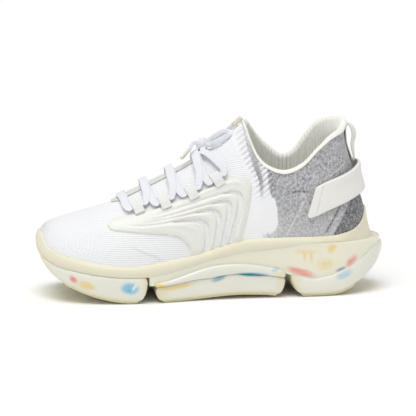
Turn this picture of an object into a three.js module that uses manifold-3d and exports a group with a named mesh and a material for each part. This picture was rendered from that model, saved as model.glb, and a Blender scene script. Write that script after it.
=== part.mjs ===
// A chunky knit running shoe for the left foot, as an assembly of its real pieces.
// Frame: millimetres, +Z up, toe towards -X, heel towards +X, lateral (outer) side at -Y,
// medial (inner) side at +Y. The origin is the middle of the shoe's box, on the ground.
import * as THREE from 'three';
import { mergeVertices } from 'three/addons/utils/BufferGeometryUtils.js';
import Module from 'manifold-3d';

const wasm = await Module();
wasm.setup();

// ---------------------------------------------------------------- driving sizes
const LENGTH = 302;            // toe to heel of the sole
const WIDTH = 104;             // widest part of the sole, at the ball of the foot
const HEIGHT = 148;            // ground to the top of the ankle
const GAP = 0.3;               // clearance between touching pieces
const KNIT = 2.4;              // wall of the knitted upper
const LINING = 3.6;            // padded lining inside the ankle
const CAGE = 2.2;              // moulded side cage
const CAGE_SLOT = 2.8;         // width of the slots between the cage ribs
const TRAY_LIP = 1.7;          // top edge of the tray beside the upper
const STROBEL = 1.5;           // board that closes the bottom of the upper
const SOCKLINER = 4.6;         // removable foam insole
const POD_WALL = 3;            // clear wall of the sole pods
const CHIP_ROOM = 6.5;         // room behind that wall for the coloured foam chips
const CORE_RECESS = 4;         // the midsole block stands back this far from the pods
const TREAD = 1.8;             // rubber tread film
const NOTCH = 7;               // width of the flex notches between the pods
const LACE_WIDTH = 6.4;
const LACE_THICKNESS = 2;
const END_WIDTH = 4;           // round-gathered free lace ends
const LOOP_WALL = 1;           // webbing of the lace loops
const STRAP = 2.2;             // heel strap
const STRAP_STANDOFF = 3;      // air between the strap and the back of the heel
const PULL_WIDTH = 9;          // webbing of the heel pull loop
const PULL_WALL = 1.8;
const FLEX_REAR = 5;           // half of the flex wedge behind the hinge, degrees
const FLEX_FRONT = 31;         // and in front of it

// The shape tables below are drawn at 302 x 104 x 148 and scaled to the sizes above.
const SX = LENGTH / 302;
const SY = WIDTH / 104;
const SZ = HEIGHT / 148;
const MID_X = 2;               // the tables' x at the middle of the sole

// ---------------------------------------------------------------- curves
// A cubic through rows of numbers, with parameter steps of the square root of their distance.
function spline(rows) {
  const knots = [0];
  for (let i = 1; i < rows.length; i++) {
    const step = Math.hypot(...rows[i].map((value, c) => value - rows[i - 1][c]));
    knots.push(knots[i - 1] + Math.sqrt(step));
  }
  const last = rows.length - 1;
  const slope = (i, c) => {
    const a = Math.max(i - 1, 0);
    const b = Math.min(i + 1, last);
    return (rows[b][c] - rows[a][c]) / (knots[b] - knots[a]);
  };
  return (u) => {
    const i = Math.min(Math.floor(Math.max(u, 0)), last - 1);
    const f = Math.min(Math.max(u - i, 0), 1);
    const h = knots[i + 1] - knots[i];
    return rows[i].map((value, c) =>
      value * (1 + 2 * f) * (1 - f) ** 2 + rows[i + 1][c] * f * f * (3 - 2 * f)
      + h * slope(i, c) * f * (1 - f) ** 2 - h * slope(i + 1, c) * f * f * (1 - f));
  };
}

// The points of that curve, a few for each row.
function sampled(rows, each = 6) {
  const at = spline(rows);
  const count = (rows.length - 1) * each;
  return Array.from({ length: count + 1 }, (_, k) => at(k / each));
}

// y as a function of x, along that curve.
function profile(rows) {
  const line = sampled(rows, 16);
  return (x) => {
    let i = 1;
    while (i < line.length - 1 && line[i][0] < x) i++;
    const [a, b] = [line[i - 1], line[i]];
    const f = Math.min(Math.max((x - a[0]) / Math.max(b[0] - a[0], 1e-9), 0), 1);
    return a[1] + (b[1] - a[1]) * f;
  };
}

// The same line moved sideways: to its left, walking along it, for a positive distance.
function moved(line, distance) {
  return line.map(([x, y], i) => {
    const a = line[Math.max(i - 1, 0)];
    const b = line[Math.min(i + 1, line.length - 1)];
    const long = Math.hypot(b[0] - a[0], b[1] - a[1]);
    return [x - (b[1] - a[1]) / long * distance, y + (b[0] - a[0]) / long * distance];
  });
}

// ---------------------------------------------------------------- solids
function solidOf(points, triangles) {
  const geometry = new THREE.BufferGeometry();
  geometry.setAttribute('position', new THREE.Float32BufferAttribute(points.flat(), 3));
  geometry.setIndex(triangles.flat());
  return solidOfGeometry(geometry);
}

function solidOfGeometry(source) {
  source.deleteAttribute('normal');
  source.deleteAttribute('uv');
  const merged = mergeVertices(source, 1e-3);
  const position = merged.getAttribute('position').array;
  const index = merged.index.array;
  const kept = [];
  let volume = 0;
  for (let i = 0; i < index.length; i += 3) {
    const [a, b, c] = [index[i], index[i + 1], index[i + 2]];
    if (a === b || b === c || c === a) continue;
    kept.push(a, b, c);
    const [p, q, r] = [a, b, c].map((v) => new THREE.Vector3().fromArray(position, v * 3));
    volume += p.dot(q.cross(r));
  }
  if (volume < 0) kept.reverse();
  return new wasm.Manifold(new wasm.Mesh({
    numProp: 3,
    vertProperties: new Float32Array(position),
    triVerts: new Uint32Array(kept),
  }));
}

// A closed solid through loops of equally many points; the first and last loops are closed
// by rungs from point i to point n-1-i.
function loft(loops) {
  const n = loops[0].length;
  const triangles = [];
  for (let k = 0; k + 1 < loops.length; k++) {
    for (let i = 0; i < n; i++) {
      const j = (i + 1) % n;
      const [a, b, c, d] = [k * n + i, k * n + j, (k + 1) * n + j, (k + 1) * n + i];
      triangles.push([a, b, c], [a, c, d]);
    }
  }
  const top = (loops.length - 1) * n;
  for (let i = 0; i < n / 2 - 1; i++) {
    const j = n - 1 - i;
    triangles.push([i, j, i + 1], [i + 1, j, j - 1]);
    triangles.push([top + i, top + i + 1, top + j], [top + i + 1, top + j - 1, top + j]);
  }
  return solidOf(loops.flat(), triangles);
}

// A side-view outline, [x, z] points, pushed straight through from y0 to y1.
function sidePrism(outline, y0, y1) {
  const shape = new THREE.Shape(outline.map(([x, z]) => new THREE.Vector2(x, z)));
  const geometry = new THREE.ExtrudeGeometry(shape, { depth: y1 - y0, bevelEnabled: false });
  geometry.rotateX(Math.PI / 2);
  geometry.translate(0, y1, 0);
  return solidOfGeometry(geometry);
}

const WIDE = WIDTH;            // further out than anything
const HIGH = 2 * HEIGHT;
const LONG = LENGTH;

const sideOnly = (side) => sidePrism([[-LONG, -HIGH], [LONG, -HIGH], [LONG, HIGH], [-LONG, HIGH]],
  side < 0 ? -WIDE : 0.01, side < 0 ? -0.01 : WIDE);

const group = new THREE.Group();

// Adds a piece to the assembly, with its own material.
function piece(name, solid, color, roughness) {
  const { vertProperties, triVerts, numProp } = solid.getMesh();
  const geometry = new THREE.BufferGeometry();
  const points = [];
  for (let i = 0; i < vertProperties.length; i += numProp) {
    points.push(vertProperties[i], vertProperties[i + 1], vertProperties[i + 2]);
  }
  geometry.setAttribute('position', new THREE.Float32BufferAttribute(points, 3));
  geometry.setIndex(Array.from(triVerts));
  const material = new THREE.MeshStandardMaterial({ color, roughness, metalness: 0 });
  const mesh = new THREE.Mesh(geometry, material);
  mesh.name = name;
  group.add(mesh);
}

const WHITE_KNIT = 0xeceef0;
const CREAM = 0xd9d6bf;
const CLEAR = 0xe2e0cc;
const SHELL_WHITE = 0xebece6;
const LACE_WHITE = 0xe9edf4;
const GREY_MARL = 0x9a9ca0;

// ---------------------------------------------------------------- the foot-shaped upper
// Cross-sections from toe to ankle. Each side of a section is one Bezier: from the edge on the
// tray, up the wall, over the shoulder, to the top line.
//   x, lateral edge, medial edge, seat z, top z, middle y, half-width of the top,
//   wall rise, shoulder half-width, shoulder drop
const SECTIONS = [
  [-146, 5, 5, 50, 50, 5, 0, 0, 0, 0],
  [-144.6, -8, 17, 43.5, 57.5, 5, 0, 9, 7, 0.3],
  [-140, -21, 27, 37, 62.5, 4.5, 0, 14, 14, 0.5],
  [-131, -32.5, 36.5, 33.5, 66, 4, 0, 18, 20, 0.8],
  [-116, -41, 43.5, 31, 70.5, 3.5, 0, 21, 25, 1],
  [-98, -46, 47.5, 28, 75.3, 3, 0, 26, 28, 1.5],
  [-82, -47.8, 48, 26, 80.7, 2.5, 0, 30, 29.5, 3],
  [-62, -47.7, 46, 25.8, 91, 1.5, 0, 35, 29, 6],
  [-40, -45.2, 41.5, 28.3, 101.5, 0.5, 0, 38, 27, 7.5],
  [-16, -42.3, 37.5, 34, 113.5, 0, 0, 42, 25, 7.5],
  [8, -40.3, 35.5, 39.5, 128.5, 0, 0, 46, 22, 6],
  [29, -39.5, 35.5, 43, 147, 0, 0, 50, 17, 3],
  [46, -39, 36.5, 44.5, 164, 0, 8, 46, 24, 14],
  [66, -38.6, 37.5, 45.5, 182, 0, 22, 42, 26, 55],
  [95, -36.5, 36.5, 46, 186, 0, 26, 42, 28, 58],
].map(([x, lat, med, seat, top, mid, half, rise, shoulder, drop]) => [
  (x - MID_X) * SX, lat * SY, med * SY, seat * SZ, top * SZ,
  mid * SY, half * SY, rise * SZ, shoulder * SY, drop * SZ]);
const CAP = SECTIONS.length - 1;        // from here the surface turns round the heel
const HEEL_LINE = profile([[40, 140], [60, 139.5], [70, 137.8], [76, 136.2], [84.5, 133.5], [97, 130],
  [111.6, 125.2], [125, 121], [137, 118.8], [147, 120.6], [188, 126]]
  .map(([z, x]) => [z * SZ, (x - MID_X) * SX]));
const section = spline(SECTIONS);
const WALL_BULGE = 1.5 * SY;

// The upper's outer surface: u counts the sections, and the last unit turns round the heel;
// t runs from the tray (0) to the top line (1); side is -1 lateral or 1 medial.
function surface(u, t, side) {
  const [x, lat, med, seat, top, mid, half, rise, shoulder, drop] = section(Math.min(u, CAP));
  const edge = side < 0 ? lat : med;
  const bulge = side * WALL_BULGE * Math.min(1, u);
  const y = [edge, edge + bulge, mid + side * shoulder, mid + side * half];
  const z = [seat, seat + rise, top - drop, top];
  const w = [(1 - t) ** 3, 3 * t * (1 - t) ** 2, 3 * t * t * (1 - t), t ** 3];
  const [py, pz] = [y, z].map((v) => v.reduce((sum, value, i) => sum + value * w[i], 0));
  if (u <= CAP) return [x, py, pz];
  const angle = Math.min(u - CAP, 1) * Math.PI / 2;
  return [x + (HEEL_LINE(pz) - x) * Math.sin(angle), py * Math.cos(angle), pz];
}

// Its outward unit normal.
function normal(u, t, side) {
  if (u < 0.01) return [-1, 0, 0];
  const h = 0.01;
  const [u0, u1] = [Math.max(u - h, 0), Math.min(u + h, CAP + 1)];
  const [t0, t1] = [Math.max(t - h, 0), Math.min(t + h, 1)];
  const along = surface(u1, t, side).map((value, i) => value - surface(u0, t, side)[i]);
  const up = surface(u, t1, side).map((value, i) => value - surface(u, t0, side)[i]);
  const n = new THREE.Vector3(...along).cross(new THREE.Vector3(...up));
  n.multiplyScalar(side < 0 ? 1 : -1);
  if (t > 0.999 && u < CAP - 2.5) n.y = 0;
  if (u > CAP + 0.999) n.y = 0;
  return n.normalize().toArray();
}

function offSurface(u, t, side, offset) {
  const p = surface(u, t, side);
  const n = normal(u, t, side);
  return p.map((value, i) => value + n[i] * offset);
}

// The section number of an x, and the t of a height in it.
function solve(target, low, high, value) {
  for (let k = 0; k < 40; k++) {
    const middle = (low + high) / 2;
    if (value(middle) < target) low = middle; else high = middle;
  }
  return (low + high) / 2;
}
const sectionAt = (x) => solve(x, 0, CAP, (u) => section(u)[0]);
const heightAt = (u, z, side) => solve(z, 0, 1, (t) => surface(u, t, side)[2]);
const at = ([x, z]) => [(x - MID_X) * SX, z * SZ];

// Stations along the surface: fine round the toe and the heel, coarser between.
function stations(step, round) {
  const list = [0, 0.15, 0.4, 0.7, 1, 1.5, 2];
  for (let u = 2 + step; u < CAP; u += step) list.push(u);
  for (let k = 0; k <= round; k++) list.push(CAP + k / round);
  return list;
}
const OUTSIDE = { along: stations(1, 6), up: 8 };
const INSIDE = { along: stations(1, 6), up: 6 };

// The solid inside the surface moved out by an offset; skirt pushes its bottom further down.
function body(offset, skirt, grid = OUTSIDE) {
  const loops = grid.along.map((u) => {
    const half = (side) => {
      const rows = [];
      for (let k = 0; k <= grid.up; k++) rows.push(offSurface(u, k / grid.up, side, offset));
      const seat = section(Math.min(u, CAP))[3] + GAP;
      rows[0][2] = Math.min(seat, rows[1][2] - 0.5);
      if (u < 0.01) rows.forEach((row) => { row[2] = rows[grid.up][2]; });
      return [[rows[0][0], rows[0][1], rows[0][2] - skirt], ...rows];
    };
    return [...half(-1), ...half(1).reverse()];
  });
  return loft(loops);
}

// ---------------------------------------------------------------- side-view lines
const BITE = [[-150, 52], [-148, 56.5], [-145.5, 56], [-143, 51], [-139, 45], [-129, 40.8], [-115, 37.3],
  [-100, 33.8], [-84, 31.8], [-69, 31.2], [-54, 32.8], [-38, 35.4], [-18, 39.2], [4, 45], [25, 50.2],
  [45, 51.5], [97, 51.5], [112, 53], [124, 56.2], [132, 62.5], [137, 71.5], [140, 76], [148, 78]];
const TRAY_LOW = [[-150, 47], [-148, 41.5], [-146, 37.5], [-141, 34.6], [-134, 31.4], [-119, 28.4], [-99, 25],
  [-75, 22.9], [-51, 23.2], [-30, 27.6], [-18, 31], [3, 36.4], [24, 40.2], [45, 42.3], [66, 43.2],
  [100, 43.5], [154, 43.5]];
const BOTTOM = [[-150, 47], [-148, 39], [-144, 29.5], [-138, 21.8], [-127, 14.4], [-107, 6.6], [-90, 2.4],
  [-77, 0.3], [-68, 0], [-60, 0], [-30, 0], [-20, 0.5], [15, 2.8], [35, 2.6], [57, 1.2], [64, 0], [70, 0],
  [98, 0], [104, 0.3], [112, 2], [122, 6], [136, 13.5], [147, 22.5], [152, 31], [154, 38]];
const POD_TOP = [[-57, 17.2], [-43, 18.3], [-24, 23.8], [-7, 28.6], [9, 30.8], [26, 30.6], [43, 28], [55, 25],
  [59, 24], [83, 16.6], [97, 17.8], [106, 20.4], [121, 26.8], [132, 33.5], [141, 40], [147, 42.3], [154, 43]];
const bite = profile(BITE.map(at));
const trayLow = profile(TRAY_LOW.map(at));
const bottom = profile(BOTTOM.map(at));
const podTop = profile(POD_TOP.map(at));

// ---------------------------------------------------------------- plan outlines
// Each is a pair of [x, y] lines from the toe tip to the heel tip, lateral then medial.
const HEEL_TURN = (x0, y0, x1, side) => [0.2, 0.4, 0.6, 0.8, 0.93, 1].map((f) =>
  [x0 + (x1 - x0) * Math.sin(f * Math.PI / 2), side * y0 * Math.cos(f * Math.PI / 2)]);
const SOLE = [
  [[-149, 5], [-148.2, -8], [-145, -19], [-139, -29], [-129, -38], [-115, -45], [-100, -49.5], [-84, -51.5],
    [-68, -52], [-50, -51], [-35, -49], [-15, -46], [5, -44], [30, -43], [60, -43], [85, -43.5],
    [100, -42.5], ...HEEL_TURN(100, 42.5, 153, -1)],
  [[-149, 5], [-148.4, 14], [-146, 24], [-140, 34], [-130, 42.5], [-116, 48], [-100, 51], [-84, 52],
    [-66, 50.5], [-45, 46.5], [-20, 42], [5, 40], [30, 40], [60, 42], [85, 43],
    [100, 42], ...HEEL_TURN(100, 42, 153, 1)]];
const TRAY = [
  [[-148.4, 5], [-147.4, -8], [-144, -19], [-138, -28.5], [-129, -36.8], [-115, -43.8], [-100, -48.2],
    [-84, -50.2], [-68, -50.7], [-50, -49.8], [-35, -47.8], [-15, -45], [5, -43], [30, -42], [60, -41.5],
    [85, -40.5], [100, -38.5], ...HEEL_TURN(100, 38.5, 146, -1)],
  [[-148.4, 5], [-147.6, 14], [-145, 23.5], [-139, 33], [-130, 41], [-116, 46.7], [-100, 49.8], [-84, 50.6],
    [-66, 49.2], [-45, 45.2], [-20, 40.8], [5, 38.8], [30, 38.8], [60, 40.5], [85, 40],
    [100, 38], ...HEEL_TURN(100, 38, 146, 1)]];
const placed = (lines) => lines.map((line) => line.map(([x, y]) => [(x - MID_X) * SX, y * SY]));
const soleLines = placed(SOLE).map((line) => sampled(line, 8));
const trayLines = placed(TRAY).map((line) => sampled(line, 8));

// The upper's own edge at the tray's top, from its surface.
const upperLines = [-1, 1].map((side) => {
  const line = [];
  for (let u = 0; u <= CAP + 1.0001; u += 0.05) {
    const z = Math.max(bite(surface(u, 0, side)[0]), section(Math.min(u, CAP))[3] + 1);
    const [x, y] = surface(u, heightAt(u, z, side), side);
    line.push([x, y]);
  }
  return line;
});

// A ring round an outline grown by a distance, at heights z(x): lateral side to the heel and back.
function ring(lines, grow, z, steps) {
  const halves = lines.map((line, side) => {
    const wide = moved(line, side === 0 ? -grow : grow);
    const ends = [line[0][0] - grow, line[line.length - 1][0] + grow];
    wide[0] = [ends[0], line[0][1]];
    wide[wide.length - 1] = [ends[1], 0];
    return Array.from({ length: steps + 1 }, (_, k) => {
      const f = (1 - Math.cos(Math.PI * k / steps)) / 2;
      const g = k / steps;
      const x = ends[0] + (ends[1] - ends[0]) * (0.45 * g + 0.55 * f);
      let i = 1;
      while (i < wide.length - 1 && wide[i][0] < x) i++;
      const [a, b] = [wide[i - 1], wide[i]];
      const h = Math.min(Math.max((x - a[0]) / Math.max(b[0] - a[0], 1e-9), 0), 1);
      const y = k === 0 ? line[0][1] : k === steps ? 0 : a[1] + (b[1] - a[1]) * h;
      return [x, y, z(x)];
    });
  });
  return [...halves[0], ...halves[1].reverse()];
}

const SOLE_STEPS = 34;
const between = (low, high, f) => (x) => low(x) + (high(x) - low(x)) * f;

// ---------------------------------------------------------------- the sole
// The whole pod block from a bottom line to a top line, standing back from the outline.
function soleBlock(low, high, inset, edge, steps = SOLE_STEPS) {
  return loft([
    ring(soleLines, -inset - edge, low, steps),
    ring(soleLines, -inset - edge * 0.3, between(low, high, 0.14), steps),
    ring(soleLines, -inset, between(low, high, 0.42), steps),
    ring(soleLines, -inset - edge * 0.15, high, steps)]);
}

const HINGE_X = (-53.5 - MID_X) * SX;   // ball of the foot, over the front notch
const HINGE_Z = 33.4 * SZ;
const HEEL_SPLIT_X = (61 - MID_X) * SX; // over the rear notch

function slab(x0, x1) {
  return sidePrism([[x0, -HIGH], [x1, -HIGH], [x1, HIGH], [x0, HIGH]], -WIDE, WIDE);
}
const frontHalf = slab(-LONG, HINGE_X - GAP / 2);
const rearHalf = slab(HINGE_X + GAP / 2, LONG);

// A notch between two pods: straight walls, flaring at the ground.
function notch(x, top, lean) {
  const w = NOTCH / 2;
  return sidePrism([[x - w - 4.5, -5], [x - w - 1, 7], [x - w - lean, top - 1.5], [x - w - lean + 1.5, top],
    [x + w - lean - 1.5, top], [x + w - lean, top - 1.5], [x + w + 1, 7], [x + w + 4.5, -5]], -WIDE, WIDE);
}
const FRONT_NOTCH_TOP = 17 * SZ;
const REAR_NOTCH_TOP = 21.7 * SZ;
const frontNotch = notch(HINGE_X, FRONT_NOTCH_TOP, 0);
const rearNotch = notch(HEEL_SPLIT_X + 2, REAR_NOTCH_TOP, 2);

const podFloor = (x) => bottom(x) + TREAD + 2 * GAP;
const trayUnder = (x) => trayLow(x) - 3 * GAP;
const frontPodTop = trayUnder;
const rearPodTop = (x) => Math.min(podTop(x), trayUnder(x) - 0.5);
const podHollow = (top) => soleBlock((x) => podFloor(x) + POD_WALL, (x) => top(x) + 3, POD_WALL + 1.5, 3, 24);
const chipFill = (top) => soleBlock((x) => podFloor(x) + POD_WALL + GAP,
  (x) => top(x) - 4 * GAP, POD_WALL + CHIP_ROOM, 3, 20);

const treadBlock = soleBlock(bottom, (x) => bottom(x) + TREAD, 1.5, 3.5);
const treadShell = treadBlock.subtract(frontNotch).subtract(rearNotch)
  .intersect(slab((-141 - MID_X) * SX, (146 - MID_X) * SX));
const frontPods = soleBlock(podFloor, frontPodTop, 0, 4).subtract(frontNotch).intersect(frontHalf);
const rearPods = soleBlock(podFloor, rearPodTop, 0, 4).subtract(frontNotch).subtract(rearNotch)
  .intersect(rearHalf);
const midSlab = slab(HINGE_X, HEEL_SPLIT_X - GAP / 2);
const heelSlab = slab(HEEL_SPLIT_X + GAP / 2, LONG);
const FRONT_END = HINGE_X - NOTCH / 2 - 5;
const MID_START = HINGE_X + NOTCH / 2 + 5;
const MID_END = HEEL_SPLIT_X - NOTCH / 2 - 5;
const HEEL_START = HEEL_SPLIT_X + NOTCH / 2 + 7;
const frontRoom = slab((-138 - MID_X) * SX, FRONT_END);
const midRoom = slab(MID_START, MID_END);
const heelRoom = slab(HEEL_START, (138 - MID_X) * SX);

piece('tread_forefoot', treadShell.intersect(frontHalf), CREAM, 0.7);
piece('tread_midfoot', treadShell.intersect(midSlab), CREAM, 0.7);
piece('tread_heel', treadShell.intersect(heelSlab), CREAM, 0.7);
const frontCavity = podHollow(frontPodTop).intersect(frontRoom);
const midCavity = podHollow(rearPodTop).intersect(midRoom);
const heelCavity = podHollow(rearPodTop).intersect(heelRoom);
piece('forefoot_pod', frontPods.subtract(frontCavity), CLEAR, 0.25);
piece('midfoot_pod', rearPods.intersect(midSlab).subtract(midCavity), CLEAR, 0.25);
piece('heel_pod', rearPods.intersect(heelSlab).subtract(heelCavity), CLEAR, 0.25);

// Foam cores fill the pods, apart from the room for the chips.
const inRoom = (x0, x1) => slab(x0 + GAP, x1 - GAP);
piece('forefoot_foam', chipFill(frontPodTop).intersect(inRoom((-138 - MID_X) * SX, FRONT_END)),
  0xf2f1ea, 0.9);
piece('midfoot_foam', chipFill(rearPodTop).intersect(inRoom(MID_START, MID_END)), 0xf2f1ea, 0.9);
piece('heel_foam', chipFill(rearPodTop).intersect(inRoom(HEEL_START, (138 - MID_X) * SX)),
  0xf2f1ea, 0.9);

// The midsole block: the set-back window between the rear pods and the tray.
const coreLow = (x) => rearPodTop(x) + 2 * GAP;
const coreBlock = soleBlock(coreLow, (x) => Math.max(trayUnder(x), coreLow(x) + 0.6), CORE_RECESS, 0.6)
  .intersect(rearHalf);
const coreRoom = soleBlock((x) => coreLow(x) - 2, (x) => trayUnder(x) + 3, CORE_RECESS + POD_WALL, 0.6, 24)
  .intersect(slab((0 - MID_X) * SX, (136 - MID_X) * SX));
piece('midsole_window', coreBlock.subtract(coreRoom), 0xdcd6b8, 0.3);
const coreFoam = soleBlock((x) => coreLow(x) + GAP, (x) => trayUnder(x) - GAP,
  CORE_RECESS + POD_WALL + CHIP_ROOM, 0.6, 20)
  .intersect(slab(GAP + (0 - MID_X) * SX, (136 - MID_X) * SX - GAP));
piece('heel_cushion', coreFoam, 0xf4f2e8, 0.9);

// Coloured foam chips behind the clear walls. Each is a flat pebble:
//   name, x, z, length, height, side, distance in from the outline, colour
const CHIPS = [
  ['chip_front_red', -117, 22.5, 10, 6, -1, 'front', 0xe0563c],
  ['chip_front_yellow', -105, 18.5, 13, 7, -1, 'front', 0xe6b93c],
  ['chip_front_blue', -76, 13, 16, 9, -1, 'front', 0x3f9fc4],
  ['chip_mid_yellow', -34, 13, 20, 7, -1, 'mid', 0xe2b23a],
  ['chip_mid_teal', 8, 17.5, 17, 6, -1, 'mid', 0x3c8d92],
  ['chip_mid_deep', 34, 17, 20, 5, -1, 'mid', 0x2d7c86],
  ['chip_heel_red', 90, 10, 22, 6, -1, 'heel', 0xdc5a44],
  ['chip_heel_yellow', 86, 32, 22, 9, -1, 'window', 0xe3bd4a],
  ['chip_heel_blue', 118, 33, 12, 8, -1, 'window', 0x4c9fc0],
  ['chip_medial_red', -100, 19, 14, 7, 1, 'front', 0xdc5a44],
  ['chip_medial_blue', -72, 13, 16, 9, 1, 'front', 0x3f9fc4],
  ['chip_medial_yellow', 92, 32, 24, 9, 1, 'window', 0xe3bd4a]];
const CHIP_DEPTH = CHIP_ROOM - 9 * GAP;
for (const [name, x, z, long, tall, side, room, color] of CHIPS) {
  const [px, pz] = at([x, z]);
  const deep = (room === 'window' ? CORE_RECESS + POD_WALL : POD_WALL + 1.5) + 2 * GAP + CHIP_DEPTH / 2;
  const line = soleLines[side < 0 ? 0 : 1];
  let i = 1;
  while (i < line.length - 1 && line[i][0] < px) i++;
  const [a, b] = [line[i - 1], line[i + 1]];
  const turn = Math.atan2(b[1] - a[1], b[0] - a[0]);
  const geometry = new THREE.SphereGeometry(1, 10, 6);
  geometry.scale(long / 2, CHIP_DEPTH / 2, tall / 2);
  geometry.rotateZ(turn);
  geometry.translate(px + side * deep * Math.sin(turn), line[i][1] - side * deep * Math.cos(turn), pz);
  piece(name, solidOfGeometry(geometry), color, 0.8);
}

// ---------------------------------------------------------------- the tray that cups the upper
const upperSolid = body(2 * GAP, 2 * GAP);
const trayBlock = loft([
  ring(trayLines, -0.6, trayLow, SOLE_STEPS),
  ring(trayLines, 0, between(trayLow, bite, 0.3), SOLE_STEPS),
  ring(upperLines, TRAY_LIP + 1.2, between(trayLow, bite, 0.72), SOLE_STEPS),
  ring(upperLines, TRAY_LIP, bite, SOLE_STEPS)]);
const tray = trayBlock.subtract(upperSolid);
piece('tray_front', tray.intersect(frontHalf), CREAM, 0.45);
piece('tray_rear', tray.intersect(rearHalf), CREAM, 0.45);

// ---------------------------------------------------------------- inside the upper
const seatLine = (x) => section(sectionAt(Math.min(x, SECTIONS[CAP][0])))[3];
const insideOf = (offset) => body(offset, 0, INSIDE);
function layerInside(low, high) {
  const under = [];
  const over = [];
  for (let x = -LONG / 2 - 10; x <= LONG / 2 + 10; x += 10) {
    under.push([x, seatLine(x) + low]);
    over.unshift([x, seatLine(x) + high]);
  }
  return sidePrism([...under, ...over], -WIDE, WIDE);
}
const inner = insideOf(-KNIT - 2 * GAP);
const strobel = inner.intersect(layerInside(2 * GAP, 2 * GAP + STROBEL));
piece('strobel_front', strobel.intersect(frontHalf), 0xe8e6df, 0.95);
piece('strobel_rear', strobel.intersect(rearHalf), 0xe8e6df, 0.95);
const bedLow = 3 * GAP + STROBEL;
const sockliner = insideOf(-KNIT - LINING - 4 * GAP).intersect(layerInside(bedLow, bedLow + SOCKLINER));
piece('sockliner_front', sockliner.intersect(frontHalf), 0xd8d8d4, 0.95);
piece('sockliner_rear', sockliner.intersect(rearHalf), 0xd8d8d4, 0.95);

// ---------------------------------------------------------------- the collar line and the panels
const RIM_LATERAL = [[10, 149], [27, 148.4], [30, 143], [32.5, 133.4], [38.5, 118.6], [47.5, 110],
  [62, 105.8], [77.5, 111.7], [90.6, 124.5], [102.5, 134.4], [115, 139.8], [120, 146], [130, 147]];
const RIM_MEDIAL = [[10, 149], [30, 148.2], [36, 142.5], [45, 131.7], [57.5, 119.8], [69, 112.6], [80, 116],
  [90.5, 130], [100, 140.4], [109, 144.6], [120, 146.4], [130, 147]];
function aboveRim(rim, lower, y0, y1) {
  const line = sampled(rim.map(at), 4).map(([x, z]) => [x, z - lower]);
  return sidePrism([...line, [LONG, line[line.length - 1][1]], [LONG, HIGH], [-LONG, HIGH],
    [-LONG, line[0][1]]], y0, y1);
}
const openAbove = (lower) => aboveRim(RIM_LATERAL, lower, -WIDE, 0).add(aboveRim(RIM_MEDIAL, lower, 0, WIDE));
const rimCut = openAbove(0);
const COLLAR_DEPTH = 13;       // of the ribbed collar lining

const knit = body(0, 0).subtract(body(-KNIT, 20)).subtract(rimCut);
const RAD = Math.PI / 180;
// A point on the ray that leans by that angle from the hinge line, at a height over it.
const fromHinge = (degrees, height) => [HINGE_X + height * Math.tan(degrees * RAD), HINGE_Z + height];
function wedge(grow) {
  const foot = grow < 0 ? 2 : 0;
  const front = [foot, HIGH].map((h) => fromHinge(-FLEX_FRONT, h)).map(([x, z]) => [x - grow, z]);
  const rear = [foot, HIGH].map((h) => fromHinge(FLEX_REAR, h)).map(([x, z]) => [x + grow, z]);
  return sidePrism([front[0], rear[0], rear[1], front[1]], -WIDE, WIDE);
}
const wedgeOut = wedge(GAP / 2);
piece('toe_vamp', knit.subtract(wedgeOut).intersect(sidePrism([[-LONG, -HIGH], [HINGE_X - GAP / 2, -HIGH],
  [HINGE_X - GAP / 2, HINGE_Z], fromHinge(-FLEX_FRONT, HIGH), [-LONG, HINGE_Z + HIGH]],
-WIDE, WIDE)), WHITE_KNIT, 0.9);
piece('vamp_flex_panel', knit.intersect(wedge(-GAP / 2)), WHITE_KNIT, 0.9);

const rearKnit = knit.subtract(wedgeOut).intersect(sidePrism([[HINGE_X + GAP / 2, -HIGH], [LONG, -HIGH],
  [LONG, HINGE_Z + HIGH], fromHinge(FLEX_REAR, HIGH), [HINGE_X + GAP / 2, HINGE_Z]], -WIDE, WIDE));
// Seams between the panels, as lines in the side view.
const THROAT = [[-90, 76], [-62, 81.5], [-40, 88], [-18, 97], [4, 108], [20, 120], [27, 127]];
const RIB_FRONT = [[17, 160], [20, 133], [26.5, 114], [34, 99], [32.5, 84], [29, 70], [22, 40], [20, 20]];
const GREY_FRONT = [[49, 170], [51, 106], [53, 88.5], [57, 83], [59, 67], [59, 20]];
const seam = (points) => sampled(points.map(at), 3);
const rightOf = (line, shift) => sidePrism([...line.map(([x, z]) => [x + shift, z]),
  [LONG, line[line.length - 1][1]], [LONG, line[0][1]]], -WIDE, WIDE);
const behindRibFront = (shift) => rightOf(seam(RIB_FRONT), shift);
const behindGreyFront = (shift) => rightOf(seam(GREY_FRONT), shift);
const throatLine = seam(THROAT);
const aboveThroat = (shift) => sidePrism([...throatLine.map(([x, z]) => [x, z + shift]),
  [throatLine[throatLine.length - 1][0], HIGH], [-LONG, HIGH], [-LONG, throatLine[0][1]]], -WIDE, WIDE);
const frontKnit = rearKnit.subtract(behindRibFront(-GAP / 2));
piece('tongue_knit', frontKnit.intersect(aboveThroat(GAP / 2)), WHITE_KNIT, 0.9);
const quarters = frontKnit.subtract(aboveThroat(-GAP / 2));
piece('knit_quarter_lateral', quarters.intersect(sideOnly(-1)), WHITE_KNIT, 0.9);
piece('knit_quarter_medial', quarters.intersect(sideOnly(1)), WHITE_KNIT, 0.9);
piece('ankle_rib_sleeve', rearKnit.intersect(behindRibFront(GAP / 2)).subtract(behindGreyFront(-GAP / 2)),
  0xe5e6e6, 0.9);
piece('heel_quarter', rearKnit.intersect(behindGreyFront(GAP / 2)), GREY_MARL, 0.9);

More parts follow.
